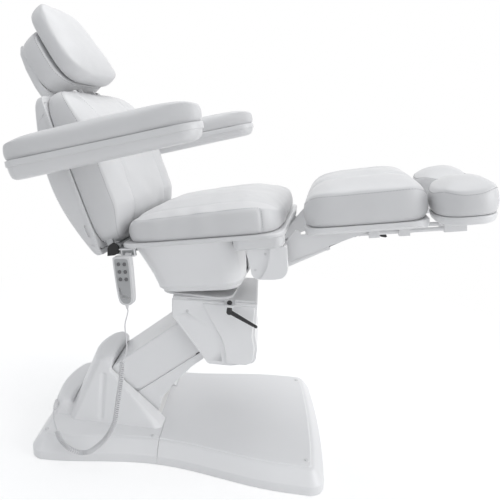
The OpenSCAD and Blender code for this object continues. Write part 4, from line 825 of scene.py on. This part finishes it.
def end_outline(s, inset, from_x):
    """Half of the base's outline, drawn in by inset, from from_x to its end at s > 0 or s < 0."""
    r = max(BASE_CORNER - inset, 8)
    w = side_y(s * BASE_END, inset)
    l = end_x(w - r, inset)
    near = [(x, -side_y(s * x, inset)) for x in np.linspace(from_x, l - r, 37)]
    near += arc(l - r, -w + r, r, -86, -6, 14)
    end = [(end_x(y, inset), y) for y in ((w - r) * i / 7 for i in range(-6, 7))]
    outline = near + end + [(x, -y) for x, y in near[::-1]]
    return outline if s > 0 else [(-x, -y) for x, y in outline]


BASE_PROFILE = [(0, 3), (0.5, 1.3), (2, 0.2), (4, 0), (25.5, 0), (27.6, 0.3), (29.2, 1.0), (30.4, 2.0),
                (48.7, 14.9), (58.4, 24.6), (61.2, 28.4), (62.2, 31.4), (62.7, 34), (63, 36), (63.7, 37),
                (65, 38), (65.7, 39), (66, 40.5), (66, 46)]


def base_solid(s, from_x):
    return loft("base", [at_z(end_outline(s, i, from_x), z) for z, i in BASE_PROFILE])


def base_hollow(s, from_x):
    rings = [(-1, 4), (26, 4), (30, 6.5), (46, 19), (58, 32), (62, 42)]
    return loft("tool", [at_z(end_outline(s, i, from_x), z) for z, i in rings])


SCREWS = [(382, 224), (-63, 199), (-392, 228)]


def screw_holes(s):
    return [post(x, y * k, 50, 80, 9.8) for x, y in SCREWS for k in (-1, 1) if x * s > 0]


front = base_solid(1, -41.5)
boolean(front, [brick(-62, -21.5, -99, 99, 61, 65.9), brick(-62, -58, -99, 99, 52, 65.5)], "UNION")
boolean(front, [base_hollow(1, -47)] + screw_holes(1))
front.name = "front_base_cover"
finish(front, "cover", "base", "front_cover", bevel=0.7, sharp=40)


def hood_slab(x0, x1, half, z, t=0):
    h, back_x = half - t, x0 + t
    outline = ([(x1 - t - 18, -h), (x1 - t, -h + 14), (x1 - t, h - 14), (x1 - t - 18, h), (back_x + 16, h)]
               + [(back_x - 22 * (1 - (k / 8) ** 2), k / 8 * (h - 14)) for k in range(8, -9, -1)]
               + [(back_x + 16, -h)])
    return at_z(outline, z) + at_z(outline, z + 1)


def hood_form(t, low):
    """The hood's form down to low, or with a wall t the space in it."""
    def over(slabs):
        return hull("hood", [p for slab in slabs for p in hood_slab(*slab, t)])
    main = over(((-345, -44, 165, low), (-345, -44, 165, 64), (-312, -136, 138, 150),
                 (-279, -190, 114, 221 - t), (-268, -215, 110, 252 - t), (-254, -219, 100, 261 - t)))
    boolean(main, [over(((-415, -340, 145, low), (-415, -340, 145, 64), (-398, -352, 134, 104 - t),
                         (-390, -358, 126, 113 - t)))], "UNION")
    ridge = [(-40 - 1.4 * t, 66), (-218 - t, 221 - t / 2), (-212 - t, 302), (36, 302)]
    return boolean(main, [prism("tool", ridge, -200, 200)])


FLUTE = ((169.2, 78), (169.2, 74), (126.2, 214))      # (y, z) along a flute in the hood's side
hood = hood_form(0, 44)
boolean(hood, [hull("tool", [(-240 + 11 * c, side * y + 11 * w, z) for y, z in FLUTE
                             for c, w in circle(0, 0, 1, 36)]) for side in (-1, 1)])
soften(hood, 3.5, 5)
rear = base_solid(-1, 42.5)
boolean(rear, [hood], "UNION")
inside = boolean(hood_form(6, 30), [brick(-215, 85, y * 102 - 2, y * 102 + 2, -1, 400) for y in (-1, 1)])
boolean(rear, [base_hollow(-1, 37), inside])
# the arm's slot and bearing, the control box's seat, the cord's gland, the mains inlet and the screws
gland_turn = shift(*GLAND_MOUTH) @ Vector(GLAND_V).to_track_quat("Z", "Y").to_matrix().to_4x4()
boolean(rear, [brick(-215, 85, -100, 100, -1, 399), pin(*PIVOT, -100, 100, 104, n=96),
               brick(-352, -346, -116, 116, 92, 122), post(0, 0, 12, 72, 12.2, gland_turn),
               brick(-460, -400, -15.8, 15.8, 4.7, 27.3)] + screw_holes(-1))
rear.name = "rear_base_cover"
finish(rear, "cover", "base", "rear_cover", sharp=32)


# domed caps on the covers' screws
CAP_PROFILE = [(4.3, 58), (4.3, 65.6), (6.2, 66.05), (6.4, 66.7), (5.9, 67.5), (4.4, 68.3), (2.2, 68.7),
               (0.3, 68.8)]
for k, (x, y) in enumerate(SCREWS):
    for side, where in ((-1, "near"), (1, "far")):
        cap = loft(f"screw_cap_{k}_{where}", [at_z(circle(x, y * side, r, 24), z) for r, z in CAP_PROFILE])
        finish(cap, "screw", "base", sharp=50)


# ---------- lift arm and head ----------

ARM_UP, ARM_DOWN = 50, 62
arm_line = (arc(0, 0, ARM_UP, 90, 262, 48) + [(14, -ARM_DOWN), (250, -ARM_DOWN), (300, -ARM_UP)]
            + arc(LIFT_L, 0, ARM_UP, -80, 80, 24) + [(262, ARM_UP)])
arm_skin = prism("lift_arm_skin", arm_line, -92, 92, ALONG_ARM)
plates = [prism("tool", [(x * 0.985 + 2, z * 0.95) for x, z in arm_line], low, high, ALONG_ARM)
          for low, high in ((-95, -90), (90, 95))]
boolean(arm_skin, plates, "UNION")
inner = (arc(0, 0, ARM_UP - 4, 90, 176, 24)
         + [(-70, -2), (-70, -150), (500, -150), (500, 100), (262, 100), (262, ARM_UP - 4)])
boolean(arm_skin, [prism("tool", inner, -91, 91, ALONG_ARM), pin(0, 0, -94, 94, 24, ALONG_ARM)])
finish(arm_skin, "cover", "lift_arm", "arm_cover", bevel=2.2, segments=3)


# a white flange of the lower link, inside the seam between it and the arm's cover
for y, where in ((-89.6, "near"), (89.6, "far")):
    flange = prism("link_flange_" + where, [(30, -30), (282, -30), (282, 3), (272, 7), (40, 7), (30, 3)],
                   y - 1, y + 1, ALONG_LINK)
    finish(flange, "cover", "lower_link", bevel=0.4)


def copy_of(node, name):
    """A new piece with the form of a CAD node, its split vertices joined again."""
    b = bmesh.new()
    b.from_mesh(NODE[node].data)
    bmesh.ops.remove_doubles(b, verts=b.verts, dist=2e-6)
    return made_from(b, name)


# the lift head's cover, with a raised front panel on each side behind a curved bevel
head_case = copy_of("head_cover", "lift_head_cover")
HEAD_SIDE = 120                    # half the cover's width
HEAD_PANEL = [(-11, 73), (-4, 58), (6, 38), (16, 20), (26, 2), (35, -14), (43, -30), (54, -57), (60, -85),
              (62, -109), (66, -113), (120, -113), (134, -106), (140, -96), (144, -60), (136, -18),
              (139, 60), (139, 73)]
PANEL_MIDDLE = (80, -20)
PANEL_EDGE = [(-4, 0), (0, 0), (0.6, 0.1), (3.4, 2.2), (4.2, 3.2), (4.5, 4.4)]      # (height, drawn in)


def drawn_in(p, inset):
    f = inset / math.dist(p, PANEL_MIDDLE)
    return [a - f * (a - b) for a, b in zip(p, PANEL_MIDDLE)]


for y in (-HEAD_SIDE, HEAD_SIDE):
    rings = [[(HEAD_AT[0] + x, y * (1 + h / HEAD_SIDE), HEAD_AT[1] + z)
              for x, z in (drawn_in(p, d) for p in HEAD_PANEL)] for h, d in PANEL_EDGE]
    boolean(head_case, [loft("tool", rings)], "UNION")
finish(head_case, "cover", "lift_head", "head_cover", bevel=1.2)

lever = soften(copy_of("lock_lever", "lever"), 1.0, 4)
finish(lever, "black_plastic", "lock_lever", "lock_lever", sharp=60)


# ---------- seat ----------

def rim_rings(x0, x1, half, r, profile):
    return [at_z(rounded(x0 + i, x1 - i, i - half, half - i, r - i), z) for z, i in profile]


board = loft("seat_board", rim_rings(-100, 336, 250, 42, [
    (113, 8), (113, 4.5), (113.5, 2.2), (114.6, 0.7), (116.2, 0), (121.5, 0), (123.4, 0.5), (124.6, 1.7),
    (125, 3.6), (125, 8)]), TILTED)
lip = loft("lip", [at_z(rounded(208, 336 - i, i - 250, 250 - i, 20), z) for z, i in
                   [(87, 14), (87.6, 11), (89.5, 8), (93, 5), (98, 3.2), (106, 3), (115, 3)]], TILTED)
boolean(board, [lip], "UNION")
boolean(board, [brick(150, 350, -194, 194, 53, 113, TILTED)])
finish(board, "shell", "seat", "seat_shell", bevel=0.8)

# (low x, high x, half width, corner radius, z)
BOWL_RINGS = [(-22, 176, 122, 34, -54), (-40, 188, 140, 42, -45), (-52, 196, 152, 46, -33),
              (-54, 194, 150, 46, -27), (-62, 198, 160, 46, 10), (-78, 198, 186, 46, 70),
              (-88, 192, 208, 42, 112.7)]


def bowl_form(t):
    """The bowl's form, or with a wall t the space in it."""
    fine = [[p + (q - p) * (i / 6) for p, q in zip(a, b)]
            for a, b in zip(BOWL_RINGS, BOWL_RINGS[1:]) for i in range(6)] + [BOWL_RINGS[-1]]
    rings = []
    for x0, x1, half, r, z in fine:
        low = max(0, 8 - (z + 54)) if t == 0 else 0
        i = t + low ** 2 / 8
        rise = (t if z < 0 else 0) + (3 if t and z == BOWL_RINGS[-1][-1] else 0)
        rings.append(at_z(rounded(x0 + i, x1 - i, i - half, half - i, r - t), z + rise))
    return loft("seat_bowl_skin", rings, TILTED)


bowl = bowl_form(0)
boolean(bowl, [bowl_form(4), brick(-64, 168, -84, 84, -64, -30, TILTED)])
boolean(bowl, [brick(-140, 280, y * 150 - 17, y * 150 + 17, 87, 127, TILTED) for y in (-1, 1)]
        + [brick(-120, -60, 45, 75, 34, 124, TILTED), brick(180, 220, -24, 24, -64, 136, TILTED)])
finish(bowl, "cover", "seat", "seat_bowl", bevel=1.0)


# ---------- back ----------

def back_bow(s):
    return 14 + 64 * math.sin(math.pi * min(1, max(0, (s + 30) / 512)))


def back_ring(s, w):
    d, r = back_bow(s), 20
    x = -38 - d + r
    return at_z([(-38, -w), (-38, w)] + arc(x, w - r, r, 90, 180, 12) + arc(x, r - w, r, 180, 270, 12), s)


def end_round(s):
    low = 14 * (1 - math.sqrt(max(0, 1 - (max(0, 16 - s) / 20) ** 2)))
    high = 18 * (1 - math.sqrt(max(0, 1 - (max(0, s - 422) / 28) ** 2)))
    return low + high


steps = sorted({-4, -3, -1, 2, 6, 10, 16, *range(24, 422, 12), 422, 428, 434, 440, 445, 448, 450})
back_skin = loft("back_skin", [back_ring(s, 245 - end_round(s)) for s in steps], LEANED)
hollow = hull("tool", [(x, y, z) for x0, y0, z0, z1 in ((-54, 237, 10, 432), (-88, 205, 110, 342))
                       for x in (x0, x0 + 40) for y in (-y0, y0) for z in (z0, z1)], LEANED)
boolean(back_skin, [hollow])
boolean(back_skin, [brick(-69, -41, y * 245 - 36, y * 245 + 36, 252, 280, LEANED) for y in (-1, 1)])
# the shallow recess in each side, behind a flat strip along the cushion
for y in (-1, 1):
    recess = [(-46, 24)] + [(-42 - back_bow(s) + 16, s) for s in range(36, 400, 14)] + [(-46, 404)]
    boolean(back_skin, [prism("tool", recess, y * 245 - 2.2, y * 245 + 2.2, LEANED)])
    boolean(back_skin, [hull("tool", [(x + 5 * c, y * 245 + k, z + 5 * w) for x, z in ((-52, 58), (-53, 84))
                                      for c, w in circle(0, 0, 1, 18) for k in (-5.5, 5.5)], LEANED)])
finish(back_skin, "shell", "back", "back_shell", bevel=1.6, segments=3, sharp=38)
# the covered board of the cushion, in the mouth of the shell, drawn in a frame with X and Z swapped
SWAPPED = Matrix(((0, 0, 1, 0), (0, 1, 0, 0), (1, 0, 0, 0), (0, 0, 0, 1)))
board = prism("cushion_board", rounded(11, 437, -240, 240, 24), -46, -38.6, LEANED @ SWAPPED, "z")
finish(board, "leatherette", "back", bevel=2.2, segments=3)


# ---------- arms ----------

ARM_L = 515
ARM_R = 46
ARM_BAND = 12                      # where the band round an arm's shell starts
ARM_PROFILE = [(-11, 26, 1), (-10.2, 20, 1), (-8.2, 14.5, 1), (-4.4, 9.6, 1), (0.5, 6.4, 0.8), (6, 4.6, 0.5),
               (ARM_BAND - 1, 3.8, 0.1), (ARM_BAND, 3.8, 0), (ARM_BAND, 1.2, 0), (ARM_BAND + 0.7, 0.3, 0),
               (ARM_BAND + 2, 0, 0), (25.6, 0, 0), (27, 0.6, 0), (27.7, 2, 0), (27.7, 6, 0)]


def arm_skin_of(side, name, body, replaced):
    m = armed(side)
    rings = []
    for z, i, slope in ARM_PROFILE:
        outline = (arc(ARM_L - ARM_R, 0, ARM_R - i, -90, 90, 24)
                   + arc(ARM_R, 0, ARM_R - i, 90, 270, 24))
        rings.append([(x, y, z - slope * 12 * (1 - x / ARM_L)) for x, y in outline])
    o = loft(name, rings, m)
    # the hinge pin's hole and the notch round the hinge, in the inner side
    face = -side * ARM_R
    hole = sorted((face, face + side * 40))
    notch = sorted((face - side, face + side * 14))
    boolean(o, [pin(ARM_HINGE, 0, *hole, 12.2, m),
                brick(ARM_HINGE - 24, ARM_HINGE + 24, *notch, -30, 24, m)])
    return finish(o, "shell", body, replaced, sharp=32)


arm_skin_of(-1, "arm_skin_near", "arm_right", "arm_shell_right")
arm_skin_of(1, "arm_skin_far", "arm_left", "arm_shell_left")


# ---------- head rest shell ----------

SHELL_S = (14, 24, 70, 130, 180, 200)
SHELL_INSET = (8, 1, 0, 2, 8, 16)
SHELL_DEPTH = (16, 24, 26, 24, 19, 12)
SHELL_R = 9
shell_rings = []
for s in np.linspace(SHELL_S[0], SHELL_S[-1], 33):
    w = head_half(s) - 4 - np.interp(s, SHELL_S, SHELL_INSET)
    x = -43 - np.interp(s, SHELL_S, SHELL_DEPTH) + SHELL_R
    shell_rings.append(at_z([(-43, -w), (-43, w)] + arc(x, w - SHELL_R, SHELL_R, 90, 180, 8)
                            + arc(x, SHELL_R - w, SHELL_R, 180, 270, 8), s))
head_skin = loft("headrest_skin", shell_rings, HEADED)
boolean(head_skin, [prism("tool", [(-47, 46), (-47, 16), (-8, -9), (9, -9), (9, 9), (-33, 46)],
                          y * 40 - 4, y * 40 + 4, HEADED) for y in (-1, 1)], "UNION")
boolean(head_skin, [pin(0, 0, -100, 100, 8.2, HEADED)])
finish(head_skin, "shell", "headrest", "headrest_shell", bevel=1.5, segments=3, sharp=38)


# ---------- leg rest and foot plates ----------

leg_tray = copy_of("leg_frame", "leg_tray")
corner = brick(370, 672, -222, 222, 103.9, 123, TILTED)
boolean(corner, [prism("tool", rounded(380, 660, -209, 209, 44, 14), 90, 140, TILTED, "z")])
boolean(leg_tray, [corner])
finish(leg_tray, "white_metal", "leg_rest", "leg_frame", bevel=1.2)


PLATE_PROFILE = ((14, 0), (9, 0.4), (6, 2), (4, 6), (2.6, 11), (2, 15), (2.2, 17.6), (3, 18.7), (5, 19),
                 (9, 19))          # (inset, z)


def squared(v):
    """A cosine or sine, filled out to a rounded square's."""
    return math.copysign(abs(v) ** 0.74, v)


def foot_plate(side, name, body, replaced):
    angles = [2 * math.pi * (k + 0.5) / 72 for k in range(72)]
    o = loft(name, [[((65 - i) * squared(math.cos(a)), (100 - i) * squared(math.sin(a)), z) for a in angles]
                    for i, z in PLATE_PROFILE], TILTED @ shift(732, side * 131, 108))
    for y in (side * 131 - 30, side * 131 + 30):
        rod = loft("tool", [[(x, y + 5 * c, 92 + 5 * w) for c, w in circle(0, 0, 1, 24)]
                            for x in (420, 727)], TILTED)
        boolean(o, [rod, brick(689, 735, y - 8, y + 8, 84, 110, TILTED)], "UNION")
    return finish(o, "white_metal", body, replaced, bevel=0.8)


foot_plate(-1, "foot_skin_near", "foot_right", "foot_plate_right")
foot_plate(1, "foot_skin_far", "foot_left", "foot_plate_left")


# ---------- hand control ----------

def cut_corners(points, rounds=3, share=0.22):
    for _ in range(rounds):
        pairs = zip(points, points[1:] + points[:1])
        points = [tuple(a + (b - a) * f for a, b in zip(p, q)) for p, q in pairs for f in (share, 1 - share)]
    return points


def handset_outline(t):
    w = 26 - t
    return [(4 - w, -t), (w - 6, -t), (w, -t - 6), (w - 2, t - 124), (w - 10, t - 136), (16 - w, t - 136),
            (5 - w, t - 122), (-w, -t - 4)]


L_HOLE = [(-18, -86), (-10, -86), (-8, -106), (14, -110), (14, -120), (-15, -115)]
KEYS = [(c * 8.5 + r * 0.6, -20 - 21 * r) for r in range(3) for c in (-1, 1)]
grip = prism("handset_skin", cut_corners(handset_outline(0)), -11, 11, HELD)
BOOT = ((-150, 2.6), (-149, 3.2), (-143, 4.2), (-138, 5), (-132, 6))      # (z, radius) down the cord
boolean(grip, [loft("tool", [at_z(circle(-1, 0, r, 32), z) for z, r in BOOT], HELD),
               brick(4, 20, 10, 19.6, -26, 5, HELD)], "UNION")


def face_holes(key_d):
    return ([prism("tool", cut_corners(L_HOLE, 2), -30, 30, HELD)]
            + [pin(x, z, -20, -6, key_d, HELD) for x, z in KEYS])


boolean(grip, [brick(2, 22, 12.9, 17.5, -60, -0.1, HELD)] + face_holes(11.2))
finish(grip, "shell", "handset", "handset_body", bevel=1.8, segments=3)
face = prism("handset_inlay", cut_corners(handset_outline(5)), -11.6, -10.7, HELD)
boolean(face, face_holes(12.4))
finish(face, "inlay", "handset", bevel=0.3)


# ---------- CAD nodes that stay ----------

KEPT = {                           # material: width of its rounded edges, nodes
    "white_metal": (1.0, "head_frame swivel_frame spring_tube handset_hook"),
    "cover": (1.8, "lower_link hinge_covers"),
    "shell": (0.5, "cord_gland"),
    "frame_steel": (1.2, "base_frame lift_arm_frame seat_frame back_frame lift_motor"),
    "bright_steel": (0.5, "lift_rod tilt_rod back_rod headrest_bars"),
    "dark_steel": (0.5, "spring_rod"),
    "screw": (0.3, "cover_screws head_screws hinge_cover_screws"),
    "black_plastic": (0.8, "control_box mains_inlet release_paddle"),
    "black_rubber": (1.6, "base_feet hinge_boots"),
    "grey_plastic": (1.5, "tilt_motor back_motor"),
    "keys": (0.5, "button_1 button_2 button_3 button_4 button_5 button_6"),
}
for slot_name, (width, names) in KEPT.items():
    for name in names.split():
        o = NODE[name]
        shade(o, slot_name)
        if "custom_normal" in o.data.attributes:
            o.data.attributes.remove(o.data.attributes["custom_normal"])
        modify(o, "WELD", merge_threshold=2e-6)
        modify(o, "DECIMATE", decimate_type="DISSOLVE", angle_limit=math.radians(1))
        round_edges(o, width, 2, 38)


# ---------- floor, light and background ----------

def camera_ray_mix(t, shader_seen, shader_else, out):
    """One shader for what the camera sees, also in mirrors and glass, and another for the rest."""
    path = t.nodes.new("ShaderNodeLightPath").outputs
    seen = combine(t, "MAXIMUM", path["Is Camera Ray"], path["Is Glossy Ray"])
    seen = combine(t, "MAXIMUM", seen, path["Is Transmission Ray"])
    both = node(t, "MixShader", {0: seen, 1: shader_else, 2: shader_seen})
    t.links.new(both.outputs[0], out.inputs["Surface"])


world = bpy.data.worlds.new("studio")
scene.world = world
world.use_nodes = True
t = world.node_tree
seen = feed(t, t.nodes["Background"], {"Color": (1, 1, 1, 1), "Strength": 1.0})
fill_light = node(t, "Background", {"Color": (0.95, 0.97, 1, 1), "Strength": 0.62})
camera_ray_mix(t, seen.outputs[0], fill_light.outputs[0], t.nodes["World Output"])

bpy.ops.mesh.primitive_circle_add(vertices=96, radius=9, fill_type="NGON", location=(0, 0, 0))
floor = bpy.context.object
floor.name = "floor"
m = bpy.data.materials.new("floor")
m.use_nodes = True
t = m.node_tree
plain = node(t, "BsdfDiffuse", {"Color": (0.84, 0.84, 0.84, 1)})
lit = node(t, "BsdfDiffuse", {"Color": (0.62, 0.62, 0.62, 1)})
glow = node(t, "Emission", {"Strength": 0.52})
both = node(t, "AddShader", {0: lit.outputs[0], 1: glow.outputs[0]})
# away from the chair the floor goes over into the backdrop
away = node(t, "VectorMath", {0: coords(t)})
away.operation = "LENGTH"
backdrop = t.nodes.new("ShaderNodeEmission")
fade = node(t, "MixShader", {0: ramp(t, away.outputs["Value"], 0.0, 1.0, 0.7, 1.9), 1: both.outputs[0],
                             2: backdrop.outputs[0]})
camera_ray_mix(t, fade.outputs[0], plain.outputs[0], t.nodes["Material Output"])
floor.data.materials.append(m)


def lamp(name, place, aim, size, power_w):
    data = bpy.data.lights.new(name, "AREA")
    give(data, shape="DISK", size=size, energy=power_w)
    o = added(name, data)
    o.location = place
    o.rotation_euler = (Vector(aim) - Vector(place)).to_track_quat("-Z", "Y").to_euler()
    o.visible_camera = False


lamp("overhead", (0.3, 0.5, 3.4), (0.1, 0.1, 0.6), 2.4, 32)
lamp("front_fill", (3.2, -1.3, 1.5), (0.1, 0, 0.5), 2.0, 36)
lamp("side_fill", (-1.8, -2.8, 0.9), (0, 0, 0.3), 2.0, 1.5)
